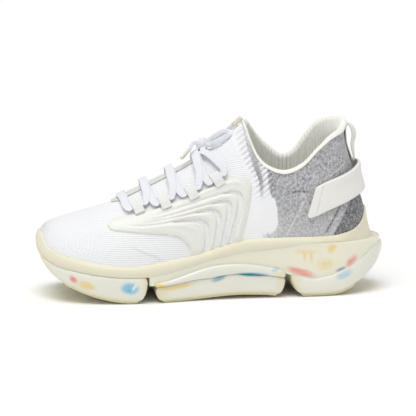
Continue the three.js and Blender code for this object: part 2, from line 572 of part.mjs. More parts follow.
const lining = body(-KNIT - 2 * GAP, 0, INSIDE).subtract(body(-KNIT - 2 * GAP - LINING, 20, INSIDE))
  .intersect(slab((14 - MID_X) * SX, LONG)).subtract(rimCut);
const lowered = openAbove(COLLAR_DEPTH);
piece('collar_rib', lining.intersect(lowered), 0xdcdbcf, 0.9);
const LINING_FOOT = STROBEL + 3 * GAP;
piece('heel_lining', lining.subtract(openAbove(COLLAR_DEPTH + GAP))
  .subtract(sidePrism([[-LONG, -HIGH], [LONG, -HIGH],
    ...[...Array(20)].map((_, k) => [LONG - k * LONG / 10, seatLine(LONG - k * LONG / 10) + LINING_FOOT])],
  -WIDE, WIDE)).intersect(slab((30 - MID_X) * SX, LONG)), 0xe4e3dc, 0.9);

// ---------------------------------------------------------------- side cages
const skin = body(GAP + CAGE, 0).subtract(body(GAP, 20)).subtract(rimCut);
const CAGE_TOP = [[-90, 64], [-87.5, 68], [-82, 69.8], [-63, 73.8], [-41.6, 79.6], [-12, 90.8], [10, 99.8],
  [20.5, 103.6], [28, 103], [32.3, 97], [31.5, 86], [29, 74], [25.5, 61], [22, 40]];
const CAGE_UNDER = [[-22, 38], [-21.5, 43.5], [-27, 52], [-35, 56.3], [-60, 58.6], [-80, 60], [-87.5, 61]];
const CAGE_SLOTS = [
  [[9, 89.6], [17, 90], [22, 87], [22.6, 80], [19, 66], [15, 54], [12, 40]],
  [[-1, 81.5], [8, 82.6], [12.6, 80], [13, 73], [10.6, 62], [8, 52], [5.6, 40]],
  [[-15, 74.4], [-3, 75.6], [2.4, 73], [4, 67], [3, 58], [1, 49], [-0.6, 38]],
  [[-35, 67], [-18, 67.8], [-9, 65], [-6.3, 59], [-6.4, 51], [-7.6, 44], [-9, 36]]];
function ribbon(points, width) {
  const line = sampled(points.map(at), 4);
  return sidePrism([...moved(line, width / 2), ...moved(line, -width / 2).reverse()], -WIDE, WIDE);
}
const aboveTray = sidePrism([...BITE.map(at).map(([x, z]) => [x, z + 2 * GAP]), [LONG, HIGH], [-LONG, HIGH]],
  -WIDE, WIDE);
let cages = skin.intersect(sidePrism([...sampled(CAGE_TOP.map(at), 3), ...sampled(CAGE_UNDER.map(at), 3)],
  -WIDE, WIDE)).intersect(aboveTray).subtract(trayBlock);
for (const slot of CAGE_SLOTS) cages = cages.subtract(ribbon(slot, CAGE_SLOT));
piece('cage_lateral', cages.intersect(sideOnly(-1)), SHELL_WHITE, 0.35);
piece('cage_medial', cages.intersect(sideOnly(1)), SHELL_WHITE, 0.35);

// ---------------------------------------------------------------- lace loops and lacing
// A place over the upper: x and z in the side view, on one side, with the directions there.
function placeAt([x, z], side) {
  const [px, pz] = at([x, z]);
  const u = sectionAt(px);
  const t = heightAt(u, pz, side);
  const point = new THREE.Vector3(...surface(u, t, side));
  const out = new THREE.Vector3(...normal(u, t, side));
  const ahead = new THREE.Vector3(...surface(u + 0.05, t, side)).sub(point).normalize();
  const up = new THREE.Vector3().crossVectors(out, ahead).normalize();
  if (up.z < 0) up.negate();
  return { u, t, point, out, ahead, up };
}
const LOOPS = [[-63.5, 78], [-41.5, 83], [-18.5, 91], [3.5, 101.5]];
const LOOP_LONG = 9;           // along the throat
const LOOP_TALL = 12;          // down the side, from the fold
const FOLD = 1.3;              // cut corner of the webbing's fold
const HOLE_UP = LACE_WIDTH + 3 * GAP;
const HOLE_OUT = LACE_THICKNESS + 3 * GAP;
const LOOP_LIFT = GAP + 0.45;    // the flat back of a loop over the curved knit
const LACE_LIFT = LOOP_LIFT + LOOP_WALL + HOLE_OUT / 2;
const cageGuard = sidePrism([...sampled(CAGE_TOP.map(at), 3).map(([x, z]) => [x, z + GAP]),
  ...sampled(CAGE_UNDER.map(at), 3)], -WIDE, WIDE);
for (const side of [-1, 1]) {
  LOOPS.forEach((spot, index) => {
    const { point, out, up } = placeAt(spot, side);
    const shape = new THREE.Shape();
    const [thick, top] = [HOLE_OUT + 2 * LOOP_WALL, HOLE_UP / 2 + LOOP_WALL];
    shape.moveTo(top - LOOP_TALL, 0);
    shape.lineTo(top - FOLD, 0);
    shape.lineTo(top, FOLD);
    shape.lineTo(top, thick - FOLD);
    shape.lineTo(top - FOLD, thick);
    shape.lineTo(top - LOOP_TALL + 2 * FOLD, thick);
    shape.lineTo(top - LOOP_TALL, FOLD);
    const hole = new THREE.Path();
    hole.moveTo(-HOLE_UP / 2, LOOP_WALL);
    hole.lineTo(-HOLE_UP / 2, thick - LOOP_WALL);
    hole.lineTo(HOLE_UP / 2, thick - LOOP_WALL);
    hole.lineTo(HOLE_UP / 2, LOOP_WALL);
    shape.holes.push(hole);
    const geometry = new THREE.ExtrudeGeometry(shape, { depth: LOOP_LONG, bevelEnabled: false });
    geometry.translate(0, 0, -LOOP_LONG / 2);
    const third = new THREE.Vector3().crossVectors(up, out);
    geometry.applyMatrix4(new THREE.Matrix4().makeBasis(up, out, third));
    const clear = point.clone().addScaledVector(out, LOOP_LIFT);
    geometry.translate(...clear.toArray());
    const name = `lace_loop_${side < 0 ? 'lateral' : 'medial'}_${index + 1}`;
    const loop = solidOfGeometry(geometry).subtract(cageGuard);
    piece(name, loop, 0xe6e6e2, 0.85);
  });
}

// A flat cord along points, each with the direction that its flat side faces.
function flatCord(route, width, thickness) {
  const loops = route.map(({ point, out }, i) => {
    const a = route[Math.max(i - 1, 0)].point;
    const b = route[Math.min(i + 1, route.length - 1)].point;
    const side = new THREE.Vector3().subVectors(b, a).cross(out).normalize();
    return [[1, 0], [0.6, 1], [-0.6, 1], [-1, 0], [-0.6, -1], [0.6, -1]].map(([across, high]) => {
      const p = point.clone().addScaledVector(side, across * width / 2);
      return p.addScaledVector(out, high * thickness / 2).toArray();
    });
  });
  return loft(loops);
}

// The same place, as across the shoe: a runs from -1 (lateral edge) over the ridge (0) to 1.
function across(u, a, lift) {
  const side = a < 0 ? -1 : 1;
  const t = 1 - Math.abs(a);
  const out = new THREE.Vector3(...normal(u, t, side));
  return { point: new THREE.Vector3(...surface(u, t, side)).addScaledVector(out, lift), out };
}
const BAND_WALL = 0.5;         // flat band along the ridge of the tongue
const EXIT = LOOP_LONG / 2 + LACE_WIDTH / 2;   // clear of the webbing, before a strand turns
const UNDER = 2 * GAP + BAND_WALL + LACE_THICKNESS / 2 + 0.8;       // a strand on the knit
const OVER = UNDER + LACE_THICKNESS + 2 * GAP;      // a strand over another
function throughLoop(index, side) {
  const { point, out, ahead } = placeAt(LOOPS[index], side);
  const lifted = point.clone().addScaledVector(out, LACE_LIFT);
  return [-EXIT, -LOOP_LONG / 2, LOOP_LONG / 2, EXIT].map((d) =>
    ({ point: lifted.clone().addScaledVector(ahead, d), out: out.clone() }));
}
// From behind one loop, over the ridge and to the front of the next loop on the other side.
// The strand goes straight up and over, and turns to the next loop on the far side.
const CROSS_STEPS = 8;
function crossing(from, to, side, lift) {
  const [start, end] = [LOOPS[from], LOOPS[to]];
  const [a, b] = [placeAt(start, side), placeAt(end, -side)];
  const uFrom = sectionAt(at([start[0] + EXIT + 1.5, 0])[0]);
  const uTo = sectionAt(at([end[0] - EXIT - 1.5, 0])[0]);
  const route = [];
  for (let k = 1; k < CROSS_STEPS; k++) {
    const f = k / CROSS_STEPS;
    const turn = Math.min(Math.max((f - 0.5) / 0.5, 0), 1);
    const u = uFrom + (uTo - uFrom) * turn ** 1.5;
    const place = side * (1 - a.t) + (-side * (1 - b.t) - side * (1 - a.t)) * f;
    const rise = Math.min(1, 4 * Math.min(f, 1 - f));
    route.push(across(u, place, LACE_LIFT + (lift - LACE_LIFT) * rise));
  }
  return route;
}
const KNOT = new THREE.Vector3(...[(-5 - MID_X) * SX, 0, 128.5 * SZ]);
const KNOT_SIZE = [6, 4.5, 4.6];
function upToKnot(from, side) {
  const start = placeAt(LOOPS[from], side);
  const uFrom = sectionAt(at([LOOPS[from][0] + EXIT + 1, 0])[0]);
  const uTo = sectionAt(KNOT.x);
  const route = [];
  for (let k = 1; k < 8; k++) {
    const f = k / 8;
    const place = side * (1 - start.t) * (1 - f * 0.9);
    route.push(across(uFrom + (uTo - uFrom) * f, place, LACE_LIFT + (OVER + 0.5 - LACE_LIFT) * f));
  }
  const last = KNOT.clone();
  last.y += side * KNOT_SIZE[1] * 0.5;
  last.z -= KNOT_SIZE[2] * 0.5;
  route.push({ point: last, out: route[route.length - 1].out });
  return route;
}
// The bar across the front of the first pair of loops.
function bar(side) {
  const start = placeAt(LOOPS[0], side);
  const route = [];
  for (let k = 0; k < 5; k++) {
    const f = k / 5;
    const u = sectionAt(at([LOOPS[0][0] - EXIT - 1.5 - 3 * (1 - f) ** 2, 0])[0]);
    route.push(across(u, side * (1 - start.t) * f * 0.98, UNDER + (LACE_LIFT - UNDER) * f));
  }
  return route;
}
function laceHalf(first) {
  const route = [...bar(first)];
  let side = first;
  for (let i = 0; i < LOOPS.length; i++) {
    route.push(...throughLoop(i, side));
    if (i < LOOPS.length - 1) {
      route.push(...crossing(i, i + 1, side, side < 0 ? OVER : UNDER));
      side = -side;
    }
  }
  route.push(...upToKnot(LOOPS.length - 1, side));
  return flatCord(route, LACE_WIDTH, LACE_THICKNESS);
}
const knotShape = new THREE.SphereGeometry(1, 12, 8);
knotShape.scale(...KNOT_SIZE);
knotShape.translate(...KNOT.toArray());
const knotSolid = solidOfGeometry(knotShape);
piece('lace', laceHalf(-1).add(laceHalf(1)).add(knotSolid), LACE_WHITE, 0.8);

// ---------------------------------------------------------------- the free ends
// Routes of the free cord: points by eye along the ridge, in the tables' x, y, z.
const END_LEFT = [[-11.6, -1.5, 129.5], [-13.5, -2.6, 129.2], [-15.2, -4, 127.4], [-16.4, -5.2, 125]];
const END_RIGHT = [[1.4, 3, 129.4], [5, 3.4, 131], [9, 3.2, 133.4], [13.5, 2.4, 136.6], [18, 1.4, 140.4],
  [21.6, 0.6, 143.6]];
const BOW = [[0.8, -2.4, 131.4], [4, -3.6, 134.6], [9, -4, 137.6], [14, -4.2, 139.4], [17.6, -5, 138.8],
  [17.9, -6.6, 137.3], [14.6, -7.4, 135.1], [9.5, -7.4, 132.2], [5, -6.4, 129.8], [2, -4.9, 128.2]];
const routeOf = (points) => points.map(([x, y, z]) =>
  new THREE.Vector3((x - MID_X) * SX, y * SY, z * SZ));
function roundCord(points, width, steps) {
  const curve = new THREE.CatmullRomCurve3(routeOf(points), false, 'centripetal');
  const shape = new THREE.Shape();
  for (let k = 0; k < 8; k++) {
    const angle = (k + 0.5) * Math.PI / 4;
    const corner = [Math.cos(angle) * width / 2, Math.sin(angle) * width / 2];
    if (k === 0) shape.moveTo(...corner); else shape.lineTo(...corner);
  }
  const tube = new THREE.ExtrudeGeometry(shape, { steps, extrudePath: curve, bevelEnabled: false });
  return solidOfGeometry(tube);
}
piece('lace_end_left', roundCord(END_LEFT, END_WIDTH, 5), LACE_WHITE, 0.8);
piece('lace_end_right', roundCord(END_RIGHT, END_WIDTH, 9), LACE_WHITE, 0.8);
piece('lace_bow', roundCord(BOW, END_WIDTH, 18), LACE_WHITE, 0.8);
const AGLET_LEFT = [[-16.6, -5.4, 124.6], [-24.6, -8.4, 116.8]];
const AGLET_RIGHT = [[21.9, 0.5, 144.1], [29.4, 0, 150.6]];
piece('aglet_left', roundCord(AGLET_LEFT, 3, 1), 0xd8d6ca, 0.3);
piece('aglet_right', roundCord(AGLET_RIGHT, 4.4, 1), 0xe2dccb, 0.2);

// ---------------------------------------------------------------- tongue band
const BAND_HALF = 7;
const bandPlan = (shift) => {
  const geometry = new THREE.ExtrudeGeometry(new THREE.Shape([[-84, 3], [-78, -BAND_HALF], [-45, -BAND_HALF],
    [-17, -5.5], [-17, 5.5], [-45, BAND_HALF], [-78, BAND_HALF]].map(([x, y]) =>
    new THREE.Vector2((x - MID_X) * SX, y * SY))), { depth: HIGH, bevelEnabled: false });
  geometry.translate(0, 0, shift);
  return solidOfGeometry(geometry);
};
const band = body(GAP + BAND_WALL, 0).subtract(body(GAP, 20)).intersect(bandPlan(60 * SZ));
piece('tongue_band', band, CREAM, 0.85);

// ---------------------------------------------------------------- heel strap
// Walks from the lateral tab, round the heel, to the medial tab; the two edges are side-view
// lines, and the strap stands off as it goes round.
const STRAP_TOP = profile([[79, 89.5], [87, 93.4], [97, 98], [109, 102.2], [120, 106], [128, 109.5],
  [136, 111.5]].map(at));
const STRAP_LOW = profile([[79, 66.8], [87, 68.2], [101, 74.4], [113, 79.4], [124, 84], [133, 88], [140, 90]]
  .map(at));
const STRAP_END = (82 - MID_X) * SX;
function strapSolid() {
  const loops = [];
  const uStart = sectionAt(STRAP_END);
  const half = [];
  for (let k = 0; k <= 14; k++) half.push(uStart + (CAP + 1 - uStart) * (k / 14) ** 0.85);
  const walk = [...half.map((u) => [u, -1]), ...half.slice(0, -1).reverse().map((u) => [u, 1])];
  for (const [u, side] of walk) {
    const x = surface(u, heightAt(u, 90 * SZ, side), side)[0];
    const f = (x - STRAP_END) / (HEEL_LINE(95 * SZ) - STRAP_END);
    const off = 2 * GAP + STRAP_STANDOFF * Math.min(Math.max((f - 0.45) / 0.5, 0), 1) ** 1.3;
    const inner = [];
    const outer = [];
    for (let k = 0; k <= 4; k++) {
      const z = STRAP_LOW(x) + (STRAP_TOP(x) - STRAP_LOW(x)) * k / 4;
      const t = heightAt(u, z, side);
      inner.push(offSurface(u, t, side, off));
      outer.push(offSurface(u, t, side, off + STRAP));
    }
    loops.push([...inner, ...outer.reverse()]);
  }
  return loft(loops);
}
piece('heel_strap', strapSolid(), SHELL_WHITE, 0.4);

// ---------------------------------------------------------------- heel pull loop
// One strand of webbing lies sewn on the back of the heel. The other stands out behind it, and
// swings from side to side about the line through its two ends.
const backAt = (z, away) => [HEEL_LINE(z * SZ) + away, z * SZ];
const PULL_TOP = 143;
const PULL_FOOT = 113.5;
const ANCHOR_WALL = 1.2;
const ANCHOR_PAST = 1.5;       // of the sewn strand, past the free strand's ends
const besideHeel = body(GAP, 20);
const anchorHeights = [PULL_FOOT - ANCHOR_PAST, PULL_FOOT + 8, PULL_FOOT + 16, PULL_TOP - 7,
  PULL_TOP + ANCHOR_PAST];
piece('pull_anchor', sidePrism([...anchorHeights.map((z) => backAt(z, 2 * GAP + ANCHOR_WALL)),
  ...anchorHeights.map((z) => backAt(z, -ANCHOR_WALL)).reverse()], -PULL_WIDTH / 2, PULL_WIDTH / 2)
  .subtract(besideHeel), CREAM, 0.9);
const PULL_CLEAR = 4.3;         // from the heel to the middle of the free strand's ends
const PULL_REACH = 9.4;         // from the heel to its middle where it stands out most
const pullLine = sampled([backAt(PULL_TOP, PULL_CLEAR), backAt(PULL_TOP - 3, PULL_REACH - 1.5),
  backAt(PULL_TOP - 9, PULL_REACH), backAt(PULL_FOOT + 12, PULL_REACH - 3),
  backAt(PULL_FOOT, PULL_CLEAR)], 4);
piece('pull_loop', sidePrism([...moved(pullLine, PULL_WALL / 2),
  ...moved(pullLine, -PULL_WALL / 2).reverse()], -PULL_WIDTH / 2, PULL_WIDTH / 2), 0xd8d8d2, 0.9);

export default group;
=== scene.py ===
"""A left running shoe: knit upper, moulded cage, carrier, clear sole pods, lacing, strap and pull loop.

The tables are in millimetres in the shoe's own frame: x runs from the toe (-) to the heel (+), y to the
medial side (+), z up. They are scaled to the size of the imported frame, and every piece is in metres.
"""

import math

import bmesh
import bpy
import numpy as np
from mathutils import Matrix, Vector


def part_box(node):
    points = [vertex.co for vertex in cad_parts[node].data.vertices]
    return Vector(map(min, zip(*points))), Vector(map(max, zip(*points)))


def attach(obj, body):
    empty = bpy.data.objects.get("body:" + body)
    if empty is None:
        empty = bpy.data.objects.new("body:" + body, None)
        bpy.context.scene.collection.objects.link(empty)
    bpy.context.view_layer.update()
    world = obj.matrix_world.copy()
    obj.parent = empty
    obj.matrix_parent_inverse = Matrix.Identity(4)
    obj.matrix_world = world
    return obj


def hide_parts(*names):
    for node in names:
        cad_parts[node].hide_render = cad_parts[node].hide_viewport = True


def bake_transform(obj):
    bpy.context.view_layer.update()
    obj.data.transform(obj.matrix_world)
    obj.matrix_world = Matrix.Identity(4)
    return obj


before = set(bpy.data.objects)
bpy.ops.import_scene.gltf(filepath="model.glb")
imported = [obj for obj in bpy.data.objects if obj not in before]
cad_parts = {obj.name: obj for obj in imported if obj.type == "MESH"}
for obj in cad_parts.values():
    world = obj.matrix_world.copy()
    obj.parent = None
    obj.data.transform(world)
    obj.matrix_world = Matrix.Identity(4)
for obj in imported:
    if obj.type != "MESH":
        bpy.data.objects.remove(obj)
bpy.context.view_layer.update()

MM = 0.001
REAR, FRONT, LOOP_BODY = "rearfoot", "forefoot", "pull_loop"

# ---------------------------------------------------------------- size, from the frame
DRAWN_LENGTH, DRAWN_WIDTH, DRAWN_PEAK = 302, 104, 148.1
pod_low, pod_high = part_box("forefoot_pod")
SCALE = np.array([(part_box("heel_pod")[1].x - pod_low.x) / DRAWN_LENGTH,
                  (pod_high.y - pod_low.y) / DRAWN_WIDTH,
                  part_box("ankle_rib_sleeve")[1].z / DRAWN_PEAK]) / MM
MID_X = 2   # the drawn x that lies at the frame's middle
KNIT, LINING, LACE_WIDTH, LACE_THICK = 2.4, 3.6, 6.4, 1.7
NO_STEP = 1e-9   # stands in for a length of nought where it divides


# ---------------------------------------------------------------- curves
def spline(rows):
    """A cubic through rows, with parameter steps of the square root of their distance."""
    rows = np.asarray(rows, float)
    step = np.sqrt(np.linalg.norm(np.diff(rows, axis=0), axis=1))
    knots = np.concatenate([[0], np.cumsum(step)])
    last = len(rows) - 1
    a = np.maximum(np.arange(last + 1) - 1, 0)
    b = np.minimum(np.arange(last + 1) + 1, last)
    slope = (rows[b] - rows[a]) / np.maximum(knots[b] - knots[a], NO_STEP)[:, None]

    def at(u):
        u = np.asarray(u, float)
        i = np.clip(np.floor(u).astype(int), 0, last - 1)
        f = np.clip(u - i, 0, 1)[..., None]
        h = (knots[i + 1] - knots[i])[..., None]
        near, far = (1 - f) ** 2, f * f
        return (rows[i] * (1 + 2 * f) * near + rows[i + 1] * far * (3 - 2 * f)
                + h * slope[i] * f * near - h * slope[i + 1] * far * (1 - f))
    return at


def sampled(rows, each=12):
    """Points along the spline, a few for each row."""
    return spline(rows)(np.linspace(0, len(rows) - 1, (len(rows) - 1) * each + 1))


def profile(rows):
    """z as a function of x, along the spline."""
    line = sampled(rows, 16)
    order = np.maximum.accumulate(line[:, 0])
    return lambda x: np.interp(x, order, line[:, 1])


def smooth(x, low, high):
    """0 before low, 1 after high, and an S between."""
    f = np.clip((np.asarray(x, float) - low) / (high - low), 0, 1)
    return f * f * (3 - 2 * f)


def resampled(line, count, closed=False):
    """The same line with evenly spaced points."""
    if closed:
        line = np.vstack([line, line[:1]])
    arc = np.concatenate([[0], np.cumsum(np.linalg.norm(np.diff(line, axis=0), axis=1))])
    places = np.linspace(0, arc[-1], count + 1)[:-1] if closed else np.linspace(0, arc[-1], count)
    return np.stack([np.interp(places, arc, line[:, c]) for c in range(line.shape[1])], 1)


def unit(v):
    """The same directions at length one."""
    return v / np.maximum(np.linalg.norm(v, axis=-1, keepdims=True), 1e-12)


# ---------------------------------------------------------------- the foot-shaped upper
# Cross-sections from toe to ankle: x, lateral edge, medial edge, seat z, top z, middle y,
# half-width of the top, wall rise, shoulder half-width, shoulder drop
SECTIONS = np.array([
    [-146, 5, 5, 50, 50, 5, 0, 0, 0, 0],
    [-144.6, -8, 17, 43.5, 57.5, 5, 0, 9, 7, 0.3],
    [-140, -21, 27, 37, 62.5, 4.5, 0, 14, 14, 0.5],
    [-131, -32.5, 36.5, 33.5, 66, 4, 0, 18, 20, 0.8],
    [-116, -41, 43.5, 31, 70.5, 3.5, 0, 21, 25, 1],
    [-98, -46, 47.5, 28, 75.3, 3, 0, 26, 28, 1.5],
    [-82, -47.8, 48, 26, 80.7, 2.5, 0, 30, 29.5, 3],
    [-62, -47.7, 46, 25.8, 91, 1.5, 0, 35, 29, 6],
    [-40, -45.2, 41.5, 28.3, 101.5, 0.5, 0, 38, 27, 7.5],
    [-16, -42.3, 37.5, 34, 113.5, 0, 0, 42, 25, 7.5],
    [8, -40.3, 35.5, 39.5, 128.5, 0, 0, 46, 22, 6],
    [29, -39.5, 35.5, 43, 147, 0, 0, 50, 17, 3],
    [46, -39, 36.5, 44.5, 164, 0, 8, 46, 24, 14],
    [66, -38.6, 37.5, 45.5, 182, 0, 22, 42, 26, 55],
    [95, -36.5, 36.5, 46, 186, 0, 26, 42, 28, 58]], float)
CAP = len(SECTIONS) - 1
WALL_BULGE = 1.5
heel_line = profile([[40, 140], [60, 139.5], [70, 137.8], [76, 136.2], [84.5, 133.5], [97, 130],
                     [111.6, 125.2], [125, 121], [137, 118.8], [147, 120.6], [188, 126]])
section = spline(SECTIONS)
CAP_X = SECTIONS[CAP, 0]
U_TABLE = np.linspace(0, CAP, 1500)
X_TABLE = np.maximum.accumulate(section(U_TABLE)[:, 0])


def surface(u, t, side):
    """The outer face of the upper. u counts the sections, and its last unit turns round the heel as a
    quarter ellipse; t runs up one Bezier from the carrier (0) to the top line (1)."""
    u, t = np.broadcast_arrays(np.asarray(u, float), np.asarray(t, float))
    values = section(np.minimum(u, CAP))
    x, lat, med, seat, top, mid, half, rise, shoulder, drop = np.moveaxis(values, -1, 0)
    edge = lat if side < 0 else med
    bulge = side * WALL_BULGE * np.minimum(1, u)
    w = [(1 - t) ** 3, 3 * t * (1 - t) ** 2, 3 * t * t * (1 - t), t ** 3]
    y = edge * w[0] + (edge + bulge) * w[1] + (mid + side * shoulder) * w[2] + (mid + side * half) * w[3]
    z = seat * w[0] + (seat + rise) * w[1] + (top - drop) * w[2] + top * w[3]
    angle = np.clip(u - CAP, 0, 1) * np.pi / 2
    x = x + (heel_line(z) - x) * np.sin(angle)
    return np.stack([x, y * np.cos(angle), z], -1)


def normal(u, t, side):
    """The face's outward unit normal, from central differences. It stays in the middle plane along the
    closed ridge and at the heel's tip, and points forward at the toe's tip."""
    u, t = np.broadcast_arrays(np.asarray(u, float), np.asarray(t, float))
    h = 0.01   # difference step in u and t
    along = surface(np.minimum(u + h, CAP + 1), t, side) - surface(np.maximum(u - h, 0), t, side)
    up = surface(u, np.minimum(t + h, 1), side) - surface(u, np.maximum(t - h, 0), side)
    n = np.cross(along, up) * (1 if side < 0 else -1)
    flat = ((t > 0.999) & (u < CAP - 2.5)) | (u > CAP + 0.999)
    n[..., 1] = np.where(flat, 0, n[..., 1])
    n = np.where((u < 0.01)[..., None], np.array([-1.0, 0, 0]), n)
    return unit(n)


def height_at(u, z, side):
    """The t at which the surface reaches z, by halving."""
    u, z = np.broadcast_arrays(np.asarray(u, float), np.asarray(z, float))
    low, high = np.zeros(u.shape), np.ones(u.shape)
    for _ in range(26):
        middle = (low + high) / 2
        under = surface(u, middle, side)[..., 2] < z
        low, high = np.where(under, middle, low), np.where(under, high, middle)
    return (low + high) / 2


def section_at(x):
    """The u whose cross-section lies at x."""
    return np.interp(x, X_TABLE, U_TABLE)


def side_place(x, z, side):
    """u and t of a point given by its x and z in the side view."""
    reach = np.clip((x - CAP_X) / (heel_line(z) - CAP_X), 0, 1)
    u = np.where(x > CAP_X, CAP + np.arcsin(reach) * 2 / np.pi, section_at(x))
    return u, height_at(u, z, side)


def on_side(x, z, side, lift=0):
    """The point over the upper's face at x and z in the side view, moved out by lift."""
    u, t = side_place(x, z, side)
    return surface(u, t, side) + normal(u, t, side) * np.asarray(lift)[..., None]


# ---------------------------------------------------------------- side-view lines
bite = profile([[-150, 52], [-148, 56.5], [-145.5, 56], [-143, 51], [-139, 45], [-129, 40.8], [-115, 37.3],
                [-100, 33.8], [-84, 31.8], [-69, 31.2], [-54, 32.8], [-38, 35.4], [-18, 39.2], [4, 45],
                [25, 50.2], [45, 51.5], [97, 51.5], [112, 53], [124, 56.2], [132, 62.5], [137, 71.5],
                [140, 76], [148, 78]])
tray_low = profile([[-150, 47], [-148, 41.5], [-146, 37.5], [-141, 34.6], [-134, 31.4], [-119, 28.4],
                    [-99, 25], [-75, 22.9], [-51, 23.2], [-30, 27.6], [-18, 31], [3, 36.4], [24, 40.2],
                    [45, 42.3], [66, 43.2], [100, 43.5], [154, 43.5]])
bottom = profile([[-150, 47], [-148, 39], [-144, 29.5], [-138, 21.8], [-127, 14.4], [-107, 6.6], [-90, 2.4],
                  [-77, 0.3], [-68, 0], [-60, 0], [-30, 0], [-20, 0.5], [15, 2.8], [35, 2.6], [57, 1.2],
                  [64, 0], [70, 0], [98, 0], [104, 0.3], [112, 2], [122, 6], [136, 13.5], [147, 22.5],
                  [152, 31], [154, 38]])
pod_top = profile([[-57, 17.2], [-43, 18.3], [-24, 23.8], [-7, 28.6], [9, 30.8], [26, 30.6], [43, 28],
                   [55, 25], [59, 24], [83, 16.6], [97, 17.8], [106, 20.4], [121, 26.8], [132, 33.5],
                   [141, 40], [147, 42.3], [154, 43]])
rim = {-1: profile([[10, 149], [27, 148.4], [30, 143], [32.5, 133.4], [38.5, 118.6], [47.5, 110],
                    [62, 105.8], [77.5, 111.7], [90.6, 124.5], [102.5, 134.4], [115, 139.8], [120, 146],
                    [130, 147]]),
       1: profile([[10, 149], [30, 148.2], [36, 142.5], [45, 131.7], [57.5, 119.8], [69, 112.6], [80, 116],
                   [90.5, 130], [100, 140.4], [109, 144.6], [120, 146.4], [130, 147]])}


def heel_turn(x0, y0, x1, side):
    """A quarter ellipse of outline points from (x0, y0) round to the heel's tip at x1."""
    f = np.array([0.2, 0.4, 0.6, 0.8, 0.93, 1]) * np.pi / 2
    return np.stack([x0 + (x1 - x0) * np.sin(f), side * y0 * np.cos(f)], 1)


# Plan outlines, lateral then medial, from the toe tip to the heel tip.
SOLE = {-1: sampled(np.vstack([[[-149, 5], [-148.2, -8], [-145, -19], [-139, -29], [-129, -38], [-115, -45],
                                [-100, -49.5], [-84, -51.5], [-68, -52], [-50, -51], [-35, -49], [-15, -46],
                                [5, -44], [30, -43], [60, -43], [85, -43.5], [100, -42.5]],
                               heel_turn(100, 42.5, 153, -1)])),
        1: sampled(np.vstack([[[-149, 5], [-148.4, 14], [-146, 24], [-140, 34], [-130, 42.5], [-116, 48],
                               [-100, 51], [-84, 52], [-66, 50.5], [-45, 46.5], [-20, 42], [5, 40], [30, 40],
                               [60, 42], [85, 43], [100, 42]], heel_turn(100, 42, 153, 1)]))}
TRAY = {-1: sampled(np.vstack([[[-148.4, 5], [-147.4, -8], [-144, -19], [-138, -28.5], [-129, -36.8],
                                [-115, -43.8], [-100, -48.2], [-84, -50.2], [-68, -50.7], [-50, -49.8],
                                [-35, -47.8], [-15, -45], [5, -43], [30, -42], [60, -41.5], [85, -40.5],
                                [100, -38.5]], heel_turn(100, 38.5, 146, -1)])),
        1: sampled(np.vstack([[[-148.4, 5], [-147.6, 14], [-145, 23.5], [-139, 33], [-130, 41], [-116, 46.7],
                               [-100, 49.8], [-84, 50.6], [-66, 49.2], [-45, 45.2], [-20, 40.8], [5, 38.8],
                               [30, 38.8], [60, 40.5], [85, 40], [100, 38]], heel_turn(100, 38, 146, 1)]))}


# ---------------------------------------------------------------- meshes
def mesh_object(name, vertices, faces, uv=None, fields=None):
    """A mesh from whole arrays: vertices in drawn millimetres, faces as quads, uv for each face corner,
    and fields as a value or colour for each vertex."""
    points = (np.asarray(vertices, float).reshape(-1, 3) - [MID_X, 0, 0]) * SCALE * MM
    mesh = bpy.data.meshes.new(name)
    faces = np.asarray(faces, np.int32)
    mesh.vertices.add(len(points))
    mesh.vertices.foreach_set("co", points.astype(np.float32).ravel())
    mesh.loops.add(faces.size)
    mesh.loops.foreach_set("vertex_index", faces.ravel())
    mesh.polygons.add(len(faces))
    mesh.polygons.foreach_set("loop_start", np.arange(0, faces.size, faces.shape[1], dtype=np.int32))
    mesh.polygons.foreach_set("use_smooth", np.ones(len(faces), bool))
    if uv is not None:
        layer = mesh.uv_layers.new(name="Cloth")
        layer.data.foreach_set("uv", np.asarray(uv, np.float32).ravel())
    for key, values in (fields or {}).items():
        values = np.asarray(values, np.float32)
        kind = "FLOAT_COLOR" if values.ndim > 1 else "FLOAT"
        attribute = mesh.attributes.new(key, kind, "POINT")
        attribute.data.foreach_set("color" if values.ndim > 1 else "value", values.ravel())
    mesh.update()
    mesh.validate()
    obj = bpy.data.objects.new(name, mesh)
    bpy.context.scene.collection.objects.link(obj)
    return obj


def grid_faces(rows, columns, wrap=(False, False), flip=False, first=0):
    """Quads over a grid of points, joined round where wrap says so."""
    index = np.arange(rows * columns).reshape(rows, columns) + first
    if wrap[0]:
        index = np.vstack([index, index[:1]])
    if wrap[1]:
        index = np.hstack([index, index[:, :1]])
    quads = np.stack([index[:-1, :-1], index[1:, :-1], index[1:, 1:], index[:-1, 1:]], -1).reshape(-1, 4)
    return quads[:, ::-1] if flip else quads


def grid_object(name, grids, uv=None, fields=None):
    """One mesh from several grids: each is (points, wrap, flip)."""
    vertices, faces, corners, first = [], [], [], 0
    for k, (points, wrap, flip) in enumerate(grids):
        rows, columns = points.shape[:2]
        vertices.append(points.reshape(-1, 3))
        faces.append(grid_faces(rows, columns, wrap, flip, first))
        if uv is not None:
            flat = uv[k].reshape(-1, 2)
            corners.append(flat[faces[-1] - first].reshape(-1, 2))
        first += rows * columns
    joined = {key: np.concatenate([np.asarray(v).reshape((-1,) + np.asarray(v).shape[2:]) for v in values])
              for key, values in (fields or {}).items()}
    return mesh_object(name, np.concatenate(vertices), np.concatenate(faces),
                       np.concatenate(corners) if uv is not None else None, joined)


